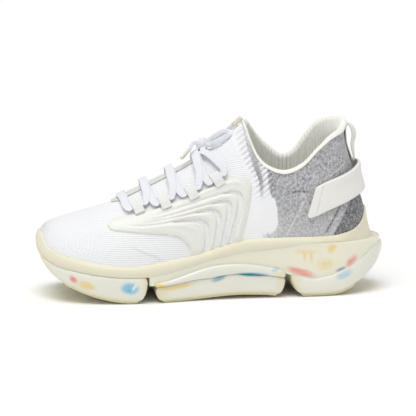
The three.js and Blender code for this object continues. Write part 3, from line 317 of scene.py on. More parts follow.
def merge(obj, distance=2e-6):
    """Joins doubled vertices, and drops faces that have collapsed."""
    work = bmesh.new()
    work.from_mesh(obj.data)
    bmesh.ops.remove_doubles(work, verts=work.verts, dist=distance)
    bmesh.ops.dissolve_degenerate(work, edges=work.edges, dist=distance / 4)
    work.to_mesh(obj.data)
    work.free()
    return obj


def outward(obj):
    """Turns a closed mesh's faces to point out."""
    work = bmesh.new()
    work.from_mesh(obj.data)
    bmesh.ops.recalc_face_normals(work, faces=work.faces)
    work.to_mesh(obj.data)
    work.free()
    return obj


def thick(obj, depth, offset=-1):
    """Gives a sheet a wall with crisp cut edges, and keeps the result as its mesh."""
    mesh = obj.data
    used = np.empty(len(mesh.loops), np.int32)
    mesh.loops.foreach_get("edge_index", used)
    mesh.edges.foreach_set("use_edge_sharp", np.bincount(used, minlength=len(mesh.edges)) == 1)
    wall = obj.modifiers.new("Wall", "SOLIDIFY")
    wall.thickness, wall.offset = depth * MM, offset
    return applied(obj)


def applied(obj):
    """Keeps the result of the modifiers as the object's mesh."""
    graph = bpy.context.evaluated_depsgraph_get()
    mesh = bpy.data.meshes.new_from_object(obj.evaluated_get(graph), preserve_all_data_layers=True,
                                           depsgraph=graph)
    obj.modifiers.clear()
    obj.data = mesh
    return obj


def placed(obj, body, slot, *nodes, material=None):
    """Gives a finished piece its material, hides the CAD nodes it replaces, and sets it on its body; a
    "flex" piece gets no body and keeps its place baked into its mesh.
    slot is not used.
    """
    if material is not None:
        obj.data.materials.clear()
        obj.data.materials.append(material)
    if nodes:
        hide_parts(*nodes)
    if body == "flex":
        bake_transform(obj)
    else:
        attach(obj, body)
    return obj


# ---------------------------------------------------------------- finishes
def srgb(r, g, b):
    """A linear colour from display values of 0 to 255."""
    c = np.array([r, g, b]) / 255
    return tuple(np.where(c <= 0.04045, c / 12.92, ((c + 0.055) / 1.055) ** 2.4))


class Finish:
    """A material, with short ways to add nodes to it."""

    def __init__(self, name, color, roughness, **sockets):
        self.material = bpy.data.materials.new(name)
        self.material.use_nodes = True
        self.tree = self.material.node_tree
        self.shader = self.tree.nodes["Principled BSDF"]
        self.shader.inputs["Base Color"].default_value = (*color, 1)
        self.shader.inputs["Roughness"].default_value = roughness
        for key, value in sockets.items():
            self.shader.inputs[key.replace("_", " ")].default_value = value

    def add(self, kind, out=0, settings=None, **inputs):
        """A shader node. Inputs go by name, or by place as i0, i1 and so on; a socket is linked."""
        node = self.tree.nodes.new("ShaderNode" + kind)
        for key, value in (settings or {}).items():
            setattr(node, key, value)
        for key, value in inputs.items():
            where = node.inputs[int(key[1:])] if key[0] == "i" and key[1:].isdigit() else node.inputs[key]
            if isinstance(value, bpy.types.NodeSocket):
                self.tree.links.new(value, where)
            else:
                where.default_value = value
        return node.outputs[out]

    def math(self, operation, a, b=0.0):
        """One Math node on two values."""
        return self.add("Math", settings={"operation": operation}, i0=a, i1=b)

    def place(self):
        """Object coordinates."""
        return self.add("TexCoord", out="Object")

    def split(self, vector):
        """The three parts of a vector."""
        node = self.tree.nodes.new("ShaderNodeSeparateXYZ")
        self.tree.links.new(vector, node.inputs[0])
        return node.outputs

    def field(self, name, out="Fac"):
        """A value or colour that the mesh carries at each vertex."""
        return self.add("Attribute", out=out, settings={"attribute_name": name})

    def noise(self, scale, detail=3.0, vector=None, rough=0.55):
        """Soft noise over the object's own coordinates, or over vector."""
        return self.add("TexNoise", Vector=vector or self.place(), Scale=scale, Detail=detail,
                        Roughness=rough)

    def step(self, value, low, high, start=0.0, stop=1.0):
        """start below low, stop above high, and an S between."""
        return self.add("MapRange", settings={"interpolation_type": "SMOOTHSTEP"}, Value=value,
                        i1=low, i2=high, i3=start, i4=stop)

    def ramp(self, value, stops):
        """A colour ramp: stops are (place, colour)."""
        node = self.tree.nodes.new("ShaderNodeValToRGB")
        self.tree.links.new(value, node.inputs[0])
        while len(node.color_ramp.elements) < len(stops):
            node.color_ramp.elements.new(0.5)
        for element, (where, color) in zip(node.color_ramp.elements, stops):
            element.position = where
            element.color = (*color, 1)
        return node.outputs[0]

    def mix(self, factor, a, b, blend="MIX"):
        """Colour a turning into colour b as factor rises."""
        node = self.tree.nodes.new("ShaderNodeMix")
        node.data_type, node.blend_type = "RGBA", blend
        for index, value in ((0, factor), (6, a), (7, b)):
            if isinstance(value, bpy.types.NodeSocket):
                self.tree.links.new(value, node.inputs[index])
            else:
                node.inputs[index].default_value = (*value, 1) if index else value
        return node.outputs[2]

    def color(self, socket):
        """Sets the base colour."""
        self.tree.links.new(socket, self.shader.inputs["Base Color"])
        return self

    def rough(self, socket):
        """Sets the roughness."""
        self.tree.links.new(socket, self.shader.inputs["Roughness"])
        return self

    def bump(self, height, distance):
        """Sets the bump: height is 0 to 1, and distance is its depth in metres."""
        made = self.add("Bump", Height=height, Distance=distance, Strength=1.0)
        self.tree.links.new(made, self.shader.inputs["Normal"])


def waves(finish, value, pitch):
    """0 to 1 and back once for each pitch of value."""
    turned = finish.math("SINE", finish.math("MULTIPLY", value, 2 * math.pi / pitch))
    return finish.math("MULTIPLY", finish.math("ADD", turned, 1.0), 0.5)


def knit_finish(name, light, dark, course, wale, depth, mottled=None):
    """Rows of stitches: waves across the rows (course) and along them (wale), read from the cloth's own
    UV map, with a soft noise over both. The colour runs from dark in the stitches' low parts to light on
    their tops: painted shade between the stitches."""
    f = Finish(name, light, 0.92, Sheen_Weight=0.15, Sheen_Roughness=0.5)
    cloth = f.split(f.add("UVMap", settings={"uv_map": "Cloth"}))
    rows = waves(f, cloth[1], course)
    shifted = f.math("ADD", cloth[0], f.math("MULTIPLY", rows, wale / 2))
    loops = waves(f, shifted, wale)
    height = f.math("ADD", f.math("MULTIPLY", rows, 0.75), f.math("MULTIPLY", loops, 0.25))
    wear = f.noise(60.0, 2.0)
    # painted shade: the colour follows the stitches' height, darker where they lie low, with a random tone
    # from the noise
    tone = f.math("ADD", f.math("MULTIPLY", height, 0.75), f.math("MULTIPLY", wear, 0.25))
    color = f.mix(tone, dark, light)
    if mottled:
        color = mottled(f, color)
    f.color(color)
    f.bump(height, depth)
    return f.material


DARK_LEAN = 0.563               # x per z of the line that the dark marl starts at
DARK_LINE = (0.0712, 0.0735)    # where x less its lean turns from grey to dark, in metres
STRAP_SHADE = (0.086, 0.094)    # heights under the strap between which the dark marl ends
PALE_BASE = (0.050, 0.085)      # heights between which the grey loses its pale base


def marl_colour(f, under):
    """Melange yarn: patches of dark, mid and light grey, darker behind a slanting line at the heel,
    with the heel's light and dashed dark seams over them."""
    place = f.place()
    wide = f.add("Mapping", Vector=place, Rotation=(0, math.radians(35), 0), Scale=(1, 1, 0.75))
    patches = f.noise(520.0, 5.0, wide, 0.7)
    flecks = f.noise(1500.0, 2.0, wide, 0.6)
    x, _, z = f.split(place)[:3]
    lean = f.math("SUBTRACT", x, f.math("MULTIPLY", z, DARK_LEAN))
    behind = f.step(lean, *DARK_LINE)
    under_strap = f.step(z, *STRAP_SHADE, 1.0, 0.0)
    dark_side = f.math("MULTIPLY", behind, under_strap)
    above_base = f.step(z, *PALE_BASE)
    mixed = f.math("ADD", f.math("MULTIPLY", patches, 0.72), f.math("MULTIPLY", flecks, 0.28))
    grey = f.ramp(mixed, [(0.33, srgb(112, 113, 116)), (0.43, srgb(158, 159, 161)),
                          (0.52, srgb(192, 192, 194)), (0.66, srgb(230, 230, 231))])
    deep = f.ramp(mixed, [(0.36, srgb(74, 75, 77)), (0.48, srgb(118, 119, 121)),
                          (0.62, srgb(186, 186, 188))])
    pale = f.math("MULTIPLY", f.math("SUBTRACT", 1.0, above_base), 0.35)
    toned = f.mix(dark_side, f.mix(pale, grey, srgb(228, 228, 229)), deep)
    toned = f.mix(f.math("MULTIPLY", f.field("thread"), 0.8), toned, srgb(236, 236, 237))
    stitches = f.math("MULTIPLY", f.field("dash"), f.math("GREATER_THAN", flecks, 0.47))
    toned = f.mix(stitches, toned, srgb(48, 48, 50))
    return f.mix(0.25, toned, under, "MULTIPLY")


def moulded_finish(name, color, shade, roughness, grain=2600.0, depth=0.00003, **sockets):
    """A moulded skin: a slow change of tone, and a fine grain in its bump and gloss."""
    f = Finish(name, color, roughness, **sockets)
    slow = f.noise(28.0, 2.0)
    fine = f.noise(grain, 2.0)
    f.color(f.mix(slow, color, shade))
    f.rough(f.math("ADD", f.math("MULTIPLY", fine, 0.16), roughness - 0.08))
    f.bump(fine, depth)
    return f


def clear_finish(name, color, edge):
    """Milky clear rubber: what lies behind it tints it through the "tint" field, thin edges are
    yellower through the "edge" field, and light spreads inside it."""
    f = Finish(name, color, 0.24, Subsurface_Weight=0.35, Subsurface_Scale=0.006, Coat_Weight=0.25,
               Coat_Roughness=0.12, IOR=1.45)
    f.shader.inputs["Subsurface Radius"].default_value = (1.0, 0.9, 0.7)
    cloudy = f.noise(45.0, 3.0)
    body = f.mix(cloudy, color, tuple(np.array(color) * 0.94))
    edged = f.mix(f.field("edge"), body, edge)
    tint, weight = f.field("tint", "Color"), f.field("tint_weight")
    streaks = f.add("Mapping", Vector=f.place(), Scale=(1, 1, 2.2))
    broken = f.add("MapRange", Value=f.noise(160.0, 2.0, streaks), i1=0.32, i2=0.62, i3=0.72, i4=1.0)
    f.color(f.mix(f.math("MULTIPLY", weight, broken), edged, tint))
    fine = f.noise(900.0, 2.0)
    f.rough(f.math("ADD", f.math("MULTIPLY", fine, 0.12), 0.18))
    f.bump(f.noise(260.0, 2.0), 0.00005)
    return f.material


def woven_finish(name, light, dark, pitch, depth, roughness=0.85, slant=0.0):
    """Woven tape: two sets of yarns over and under each other, from the cloth's own UV map. slant
    turns the yarns into a braid's arrows. The colour is darker where the yarns lie low: painted shade
    between them."""
    f = Finish(name, light, roughness, Sheen_Weight=0.2)
    cloth = f.split(f.add("UVMap", settings={"uv_map": "Cloth"}))
    u, v = cloth[0], cloth[1]
    if slant:
        u = f.math("ADD", u, f.math("MULTIPLY", f.math("ABSOLUTE", v), slant))
    over = f.math("MULTIPLY", waves(f, u, pitch), waves(f, v, pitch * 0.9))
    under = waves(f, f.math("ADD", u, pitch / 2), pitch)
    height = f.math("MAXIMUM", over, f.math("MULTIPLY", under, 0.6))
    # painted shade: the colour follows the yarns' height, darker where they lie low, with a random tone from
    # the noise
    tone = f.math("ADD", f.math("MULTIPLY", height, 0.7), f.math("MULTIPLY", f.noise(700.0), 0.3))
    f.color(f.mix(tone, dark, light))
    f.bump(height, depth)
    return f.material


def foam_finish(name, color):
    """Expanded beads: cells from a Voronoi pattern."""
    f = Finish(name, color, 0.7, Subsurface_Weight=0.1, Subsurface_Scale=0.003)
    cells = f.add("TexVoronoi", Vector=f.place(), Scale=420.0)
    f.color(f.mix(cells, color, tuple(np.array(color) * 0.82)))
    f.bump(cells, 0.0002)
    return f.material


def film_finish(name, color, shade):
    """Glossy rolled film, with a slow change of tone."""
    f = Finish(name, color, 0.18, Coat_Weight=0.6)
    f.color(f.mix(f.noise(300.0), color, shade))
    return f.material


WHITE_KNIT = knit_finish("white_knit", srgb(254, 254, 255), srgb(236, 237, 239), 0.00185, 0.0012, 0.00035)
MARL_KNIT = knit_finish("grey_marl_knit", srgb(255, 255, 255), srgb(205, 205, 207), 0.0016, 0.0011, 0.0003,
                        marl_colour)
COLLAR_KNIT = knit_finish("collar_knit", srgb(255, 254, 247), srgb(249, 248, 240), 0.0011, 0.0009, 0.0002)
LINING_CLOTH = knit_finish("lining_cloth", srgb(250, 249, 245), srgb(238, 237, 231), 0.0014, 0.001, 0.00015)
SOCK_CLOTH = knit_finish("sock_cloth", srgb(226, 226, 222), srgb(206, 206, 202), 0.0012, 0.0012, 0.00012)
CARRIER = moulded_finish("carrier_cream", srgb(236, 231, 208), srgb(229, 224, 200), 0.5,
                         Subsurface_Weight=0.2, Subsurface_Scale=0.004).material
CAGE_SHELL = moulded_finish("cage_shell", srgb(240, 238, 231), srgb(234, 232, 224), 0.42,
                            Subsurface_Weight=0.15, Subsurface_Scale=0.002).material
STRAP_SHELL = moulded_finish("strap_shell", srgb(240, 239, 234), srgb(234, 233, 227), 0.5).material
TREAD_RUBBER = moulded_finish("tread_rubber", srgb(226, 219, 178), srgb(216, 208, 166), 0.45).material
CLEAR_POD = clear_finish("clear_pod", srgb(236, 235, 223), srgb(226, 217, 172))
CLEAR_WINDOW = clear_finish("clear_window", srgb(242, 238, 218), srgb(240, 230, 194))
WEBBING = woven_finish("loop_webbing", srgb(250, 250, 248), srgb(232, 232, 228), 0.0009, 0.0002)
PULL_TAPE = woven_finish("pull_webbing", srgb(250, 249, 244), srgb(232, 231, 224), 0.0011, 0.00025)
LACE_CLOTH = woven_finish("lace_cloth", srgb(252, 253, 255), srgb(228, 232, 240), 0.0012, 0.00025, slant=0.8)
BAND_CLOTH = woven_finish("band_cloth", srgb(240, 239, 235), srgb(214, 213, 208), 0.0008, 0.00015)
AGLET_FILM = film_finish("aglet_film", srgb(238, 234, 224), srgb(214, 199, 176))
CORE_FOAM = foam_finish("core_foam", srgb(238, 234, 216))
BOARD = foam_finish("board", srgb(222, 220, 210))
CHIP_COLOURS = {"red": srgb(236, 118, 106), "yellow": srgb(238, 204, 96), "blue": srgb(92, 184, 224),
                "teal": srgb(60, 160, 180), "deep": srgb(40, 150, 190)}
CHIP_FOAMS = {name: foam_finish("chip_" + name, color) for name, color in CHIP_COLOURS.items()}


def blended_marl(f, color):
    """The ankle's white yarn turning into the heel's grey one where the "marl" field rises, with painted
    shade, a grey, in the valleys between ribs where the "groove" field rises."""
    broken = f.math("ADD", f.field("marl"), f.math("MULTIPLY", f.noise(420.0, 4.0), 0.7))
    yarn = f.mix(f.step(broken, 0.62, 0.95), color, marl_colour(f, color))
    # painted shade: grey mixed into the valleys between the ribs, by the "groove" field
    return f.mix(f.math("MULTIPLY", f.field("groove"), 0.32), yarn, srgb(170, 171, 175))


ANKLE_KNIT = knit_finish("ankle_knit", srgb(253, 253, 254), srgb(236, 237, 239), 0.0014, 0.001, 0.00012,
                         blended_marl)

# ---------------------------------------------------------------- knit panels
SIDES = (-1, 1)
RIB_FRONT = sampled([[20, 20], [22, 40], [29, 70], [32.5, 84], [34, 99], [26.5, 114], [20, 133], [17, 160]])
GREY_FRONT = sampled([[59, 20], [59, 67], [57, 83], [53, 88.5], [51, 106], [49, 170]])


def rim_heights(side):
    """t at which the collar line cuts each section, by halving; 1 where the upper is closed."""
    u = np.linspace(0, CAP + 1, 900)
    low, high = np.zeros(u.shape), np.ones(u.shape)
    for _ in range(30):
        middle = (low + high) / 2
        p = surface(u, middle, side)
        under = p[:, 2] < rim[side](p[:, 0])
        low, high = np.where(under, middle, low), np.where(under, high, middle)
    return lambda q: np.interp(q, u, high)


RIM_T = {side: rim_heights(side) for side in SIDES}


def seam(line):
    """A side-view seam as u for each height."""
    order = np.argsort(line[:, 1])
    return lambda z: section_at(np.interp(z, line[order, 1], line[order, 0]))


def panel_places(left, right, columns, rows, side):
    """u and t over a knit panel between two seams: rows run from the carrier to the collar line, and
    each point is moved along its row until it lies at its share of the way between the seams."""
    s = np.linspace(0, 1, columns)[:, None]
    v = np.linspace(0, 1, rows)[None, :]
    u = left(90.0) + (right(90.0) - left(90.0)) * s + 0 * v
    for _ in range(40):
        t = RIM_T[side](u) * v
        z = surface(u, t, side)[..., 2]
        u = 0.5 * u + 0.5 * (left(z) + (right(z) - left(z)) * s)
    return u, RIM_T[side](u) * v


def vamp_places(left, right, columns, rows, side):
    """u and t over the front of the upper: rows run from the carrier to the ridge, and each point is
    moved along its row until it lies at its share of the way between the seams."""
    s = np.linspace(0, 1, columns)[:, None] ** 1.25
    t = np.linspace(0, 1, rows)[None, :] + 0 * s
    u = left(90.0) + (right(90.0) - left(90.0)) * s + 0 * t
    for _ in range(40):
        z = surface(u, t, side)[..., 2]
        u = 0.5 * u + 0.5 * (left(z) + (right(z) - left(z)) * s)
    return u, t


def sleeve_places(left, right, columns, rows, side):
    """u and t over the ankle: columns lean with the seams, and rise from the carrier to the collar line
    or to the ridge, whichever is lower, found by halving."""
    s = np.linspace(0, 1, columns)[:, None]
    at = lambda z: left(z) + (right(z) - left(z)) * s
    low, high = np.full((columns, 1), 60.0), np.full((columns, 1), 150.0)
    for _ in range(30):
        z = (low + high) / 2
        x = section(at(z))[..., 0]
        under = z < np.minimum(rim[side](x), section(at(z))[..., 4] - 0.02)
        low, high = np.where(under, z, low), np.where(under, high, z)
    z = 43.5 + (low - 43.5) * np.linspace(0, 1, rows)[None, :]
    u = at(z)
    return u, height_at(u, z, side)


def arc_along(points, axis):
    """Length along a grid's lines from its first line, for each point."""
    steps = np.linalg.norm(np.diff(points, axis=axis), axis=2)
    start = np.zeros_like(np.take(steps, [0], axis=axis))
    return np.concatenate([start, np.cumsum(steps, axis=axis)], axis=axis)


PANEL_WALL = 1.6


def knit_panel(name, left, right, columns, rows, shape, material, slot, body, *nodes,
               places=panel_places):
    """Both sides of a knit panel: the upper's face, moved out by shape's relief, with a wall inwards.
    shape gives the relief, the course line for the stitches and any field, for a grid of points;
    places gives the grid's u and t."""
    grids, uvs, fields = [], [], {}
    for side in SIDES:
        u, t = places(left, right, columns, rows, side)
        points = surface(u, t, side)
        up, along = arc_along(points, 1), arc_along(points, 0)
        along = along[:, [int(rows * 0.3)]] + 0 * up
        relief, course, extra = shape(points, up, section(np.minimum(u, CAP))[..., 3])
        grids.append((points + normal(u, t, side) * relief[..., None], (False, False), side > 0))
        uvs.append(np.stack([along, course], -1) * MM)
        for key, value in extra.items():
            fields.setdefault(key, []).append(value)
    obj = merge(grid_object(name, grids, uvs, fields))
    thick(obj, PANEL_WALL)
    return placed(obj, body, slot, *nodes, material=material)


TOE_CREASE = sampled([[-76, 49.5], [-68, 45.3], [-60, 42], [-52, 38.5], [-44, 35]], 8)


def line_distance(x, z, line):
    """Distance in the side view from each point to a line of straight pieces, and the place on it."""
    a, b = line[:-1], line[1:]
    p = np.stack([x, z], -1)[..., None, :]
    d = b - a
    f = np.clip(((p - a) * d).sum(-1) / np.maximum((d * d).sum(-1), NO_STEP), 0, 1)
    gap = np.linalg.norm(p - (a + d * f[..., None]), axis=-1)
    best = gap.argmin(-1)
    place = (best + np.take_along_axis(f, best[..., None], -1)[..., 0]) / len(a)
    return gap.min(-1), place


def vamp_shape(points, up, seat):
    """Courses follow the carrier's edge round the toe and lie level further back; one pressed crease
    runs down to the flex line."""
    x, y, z = np.moveaxis(points, -1, 0)
    follow = 1 - smooth(x, -112, -70)
    course = up + seat - follow * (bite(x) - 31.2)
    gap, place = line_distance(x, z, TOE_CREASE)
    ends = smooth(place, 0, 0.25) * (1 - smooth(place, 0.9, 1))
    relief = 0.25 * np.exp(-((gap - 1.6) / 1.2) ** 2) * ends - 0.7 * np.exp(-(gap / 0.75) ** 2) * ends
    return relief, course, {}


RIB_LEAN, RIB_PITCH, RIB_RISE = math.radians(40), 3.8, 0.85


def ankle_shape(points, up, seat):
    """Coarse ribs that rise to the collar's edge, fading into level courses lower down. "marl" rises
    before the heel's seam and along the carrier, and "groove" in the valleys between ribs, as the mask of
    painted shade there."""
    x, y, z = np.moveaxis(points, -1, 0)
    across = z * math.cos(RIB_LEAN) - x * math.sin(RIB_LEAN)
    front = np.interp(z, RIB_FRONT[:, 1], RIB_FRONT[:, 0])
    fade = smooth(z, 80, 98) * smooth(x - front, -0.5, 5)
    ribs = RIB_RISE * np.sin(across * 2 * np.pi / RIB_PITCH) * fade
    grey = np.interp(z, GREY_FRONT[:, 1], GREY_FRONT[:, 0])
    low = 1 - smooth(z, 52, 64)
    marl = np.maximum(smooth(x - grey, -7 - 10 * low, -1), 0.5 * low * smooth(x, 28, 48))
    # groove: the mask of painted shade, 1 at the bottom of each valley between ribs
    groove = np.clip(-ribs / RIB_RISE, 0, 1)
    return ribs, z, {"marl": marl, "groove": groove}


LIGHT_SEAMS = [sampled(rows, 4) for rows in ([[62, 54], [69, 66], [77.5, 82]],
                                             [[99.7, 102.7], [108, 107.5], [117, 114]])]
DARK_SEAMS = [sampled(rows, 4) for rows in ([[97.3, 55.3], [105, 68], [112.5, 82]],
                                            [[68.7, 90], [75, 90.4], [81, 90]])]


def seam_field(x, z, seams, width):
    """1 on the seams, falling off as a bell over width."""
    return sum(np.exp(-(line_distance(x, z, line)[0] / width) ** 2) for line in seams)


def heel_shape(points, up, seat):
    """The heel's cloth with thin pressed seams: "thread" marks the light ones, "dash" the dark ones."""
    x, y, z = np.moveaxis(points, -1, 0)
    outer = smooth(-y, -4, 2)
    thread = seam_field(x, z, LIGHT_SEAMS, 0.5) * outer
    dash = seam_field(x, z, DARK_SEAMS, 0.9) * outer
    relief = -0.3 * np.clip(thread + 0.6 * dash, 0, 1)
    return relief, z + 0.35 * x, {"thread": thread, "dash": np.clip(dash, 0, 1)}


whole_front = lambda z: 0.02 + 0 * np.asarray(z, float)
heel_back = lambda z: CAP + 1.0 + 0 * np.asarray(z, float)
knit_panel("knit_vamp", whole_front, seam(RIB_FRONT), 210, 96, vamp_shape, WHITE_KNIT, "white_knit",
           "flex", "toe_vamp", "vamp_flex_panel", "tongue_knit", "knit_quarter_lateral",
           "knit_quarter_medial", places=vamp_places)
knit_panel("knit_ankle", seam(RIB_FRONT), seam(GREY_FRONT), 56, 190, ankle_shape, ANKLE_KNIT,
           "white_knit", REAR, "ankle_rib_sleeve", places=sleeve_places)
knit_panel("knit_heel", seam(GREY_FRONT), heel_back, 120, 100, heel_shape, MARL_KNIT, "grey_marl", REAR,
           "heel_quarter")

# ---------------------------------------------------------------- collar, lining, sockliner
COLLAR_FRONT = float(section_at(25.5))


def rim_loop(count):
    """The collar line as a closed loop: side, u, t and the length so far, for evenly spaced points."""
    u = np.concatenate([np.linspace(COLLAR_FRONT, COLLAR_FRONT + 0.6, 400),
                        np.linspace(COLLAR_FRONT + 0.6, CAP + 1, 700)[1:]])
    parts = []
    for side in SIDES:
        q = u if side < 0 else u[::-1][1:-1]
        t = RIM_T[side](q)
        parts.append(np.column_stack([surface(q, t, side), q, t, np.full(q.shape, side)]))
    line = np.vstack(parts)
    closed = np.vstack([line, line[:1]])
    steps = np.linalg.norm(np.diff(closed[:, :3], axis=0), axis=1)
    arc = np.concatenate([[0], np.cumsum(steps)])
    places = np.linspace(0, arc[-1], count + 1)[:-1]
    u, t = (np.interp(places, arc, closed[:, c]) for c in (3, 4))
    side = np.where(places < arc[len(parts[0]) - 1], -1, 1)
    return side, u, t, places


def on_both(function, u, t, side):
    """surface or normal for points of both sides."""
    return np.where((side < 0)[..., None], function(u, t, -1), function(u, t, 1))


def inner_band(side, u, t, depths, offset):
    """Points down inside the collar: depth below the rim along the wall, and offset in from the face."""
    reach = on_both(surface, u, np.maximum(t - 0.05, 0), side) - on_both(surface, u, t, side)
    per_t = np.linalg.norm(reach, axis=-1) / 0.05
    low_t = np.clip(t[:, None] - depths[None, :] / per_t[:, None], 0, 1)
    u2, side2 = np.broadcast_to(u[:, None], low_t.shape), np.broadcast_to(side[:, None], low_t.shape)
    base = on_both(surface, u2, low_t, side2)
    out = on_both(normal, u2, low_t, side2)
    return base + out * offset[..., None]


COLLAR_DEPTH, COLLAR_RIB_PITCH, COLLAR_WALL = 26.0, 3.9, 4.4


def make_collar():
    """The ribbed collar: from a thin bound edge on the outside, over a round lip, and down the inside
    with a rib every few millimetres round the opening."""
    side, u, t, places = rim_loop(560)
    pitch = places[-1] / round(places[-1] / COLLAR_RIB_PITCH)
    ribs = 0.5 + 0.5 * np.cos(places * 2 * np.pi / pitch)
    v = np.linspace(0, 1, 46)
    turn = np.clip(v / 0.2, 0, 1) * np.pi
    inside = np.clip((v - 0.2) / 0.8, 0, 1)
    lip = COLLAR_WALL / 2
    offset = 0.15 - lip + lip * np.cos(turn) - 1.0 * np.sin(inside * np.pi / 2)
    depths = 0.5 - 1.9 * np.sin(turn) + COLLAR_DEPTH * inside + 0.6 * np.clip(turn / np.pi, 0, 1)
    rib = (ribs[:, None] - 0.5) * (1.5 * smooth(v, 0.05, 0.24))[None, :]
    points = inner_band(side, u, t, depths, offset[None, :] + rib)
    over = np.clip(-depths, 0, None)
    points[..., 2] += over[None, :]
    across = np.broadcast_to(places[:, None], rib.shape)
    steps = np.hypot(np.diff(offset), np.diff(depths))
    down = np.broadcast_to(np.cumsum(np.r_[0, steps])[None, :], rib.shape)
    uv = np.stack([down, across], -1) * MM
    obj = grid_object("collar", [(points, (True, False), False)], [uv])
    thick(obj, 0.9, 1)
    return placed(obj, REAR, "collar_knit", "collar_rib", material=COLLAR_KNIT)


def make_lining():
    """The padded lining from the collar down to the sockliner, swelling in the middle."""
    side, u, t, places = rim_loop(200)
    v = np.linspace(0, 1, 30)
    floor_z = section(np.minimum(u, CAP))[:, 3] + 5
    low_t = np.where(side < 0, height_at(u, floor_z, -1), height_at(u, floor_z, 1))
    reach = on_both(surface, u, np.maximum(t - 0.05, 0), side) - on_both(surface, u, t, side)
    start = np.clip(t - (COLLAR_DEPTH - 3) / (np.linalg.norm(reach, axis=-1) / 0.05), low_t + 0.02, 1)
    tt = start[:, None] + (low_t - start)[:, None] * v[None, :]
    u2, side2 = np.broadcast_to(u[:, None], tt.shape), np.broadcast_to(side[:, None], tt.shape)
    puff = -(KNIT + LINING - 1.2) - 1.6 * np.sin(np.clip(v * 1.4, 0, 1) * np.pi)[None, :]
    points = on_both(surface, u2, tt, side2) + on_both(normal, u2, tt, side2) * (puff + 0 * tt)[..., None]
    uv = np.stack([places[:, None] + 0 * tt, arc_along(points, 1)], -1) * MM
    obj = grid_object("heel_padding", [(points, (True, False), False)], [uv])
    thick(obj, 1.4, 1)
    placed(obj, REAR, "collar_knit", "heel_lining", material=LINING_CLOTH)
    return obj


def make_sockliner():
    """The removable footbed: a thin pad between the walls, cupped at the sides and the heel."""
    u = np.concatenate([np.linspace(1.3, CAP, 120), np.linspace(CAP, CAP + 1, 30)[1:]])
    a = np.linspace(-1, 1, 41)
    seat = section(np.minimum(u, CAP))[:, 3]
    heights = {side: height_at(u, seat + 6, side) for side in SIDES}
    edge = {side: surface(u, heights[side], side) + normal(u, heights[side], side) * -6.6 for side in SIDES}
    f = ((a + 1) / 2)[None, :, None]
    tops = edge[-1][:, None] * (1 - f) + edge[1][:, None] * f
    cup = 2.2 * np.abs(a) ** 4
    low = tops.copy()
    tops[..., 2] = seat[:, None] + 6.2 + cup[None, :]
    low[..., 2] = seat[:, None] + 2.4
    uv = np.stack([tops[..., 0], tops[..., 1]], -1) * MM
    ring = np.concatenate([tops, low[:, ::-1]], 1)
    uv = np.concatenate([uv, uv[:, ::-1]], 1)
    obj = grid_object("footbed", [(ring, (False, True), False)], [uv])
    outward(merge(obj))
    placed(obj, "flex", "sock_fabric", "sockliner_front", "sockliner_rear", material=SOCK_CLOTH)
    return obj


make_collar()
make_lining()
make_sockliner()


# ---------------------------------------------------------------- carrier ring
TOE_CENTRE, HEEL_CENTRE = np.array([-126.0, 4.5]), np.array([95.0, 0.0])
TOE_SPAN, HEEL_SPAN = 30.0, 60.0


def girth(line):
    """How far along the shoe each outline point lies: x between the two end centres, and the turn
    round the toe or the heel beyond them."""
    x, y = line[:, 0], line[:, 1]
    toe = np.arctan2(np.abs(y - TOE_CENTRE[1]), np.maximum(TOE_CENTRE[0] - x, 1e-6)) / (np.pi / 2)
    heel = np.arctan2(np.abs(y - HEEL_CENTRE[1]), np.maximum(x - HEEL_CENTRE[0], 1e-6)) / (np.pi / 2)
    g = np.where(x < TOE_CENTRE[0], TOE_CENTRE[0] - TOE_SPAN * (1 - toe), x)
    g = np.where(x > HEEL_CENTRE[0], HEEL_CENTRE[0] + HEEL_SPAN * (1 - heel), g)
    return np.maximum.accumulate(g)


def contact(side):
    """Where the upper enters the carrier: the carrier's top line on the upper's face, held a little
    under the face's top at the toe's tip."""
    u = np.linspace(0, CAP + 1, 900)
    low, high = np.zeros(u.shape), np.ones(u.shape)
    peak = surface(u, 1.0, side)[:, 2] - 3
    for _ in range(28):
        middle = (low + high) / 2
        p = surface(u, middle, side)
        under = p[:, 2] < np.minimum(bite(p[:, 0]), peak)
        low, high = np.where(under, middle, low), np.where(under, high, middle)
    line = surface(u, low, side)
    line[:, 2] = bite(line[:, 0])
    return line


def round_loop(lines, stations):
    """One closed loop from two sides' lines: lateral from toe to heel, then medial back to the toe."""
    halves = []
    for side in SIDES:
        line = lines[side]
        g = girth(line)
        where = stations if side < 0 else stations[::-1][1:-1]
        halves.append(np.stack([np.interp(where, g, line[:, c]) for c in range(line.shape[1])], 1))
    return np.vstack(halves)


def plan_out(loop, reach=3):
    """The level outward direction at each point of a closed loop that runs lateral side first."""
    ahead, behind = np.roll(loop, -reach, 0), np.roll(loop, reach, 0)
    d = unit((ahead - behind)[:, :2])
    return np.column_stack([d[:, 1], -d[:, 0], np.zeros(len(d))])


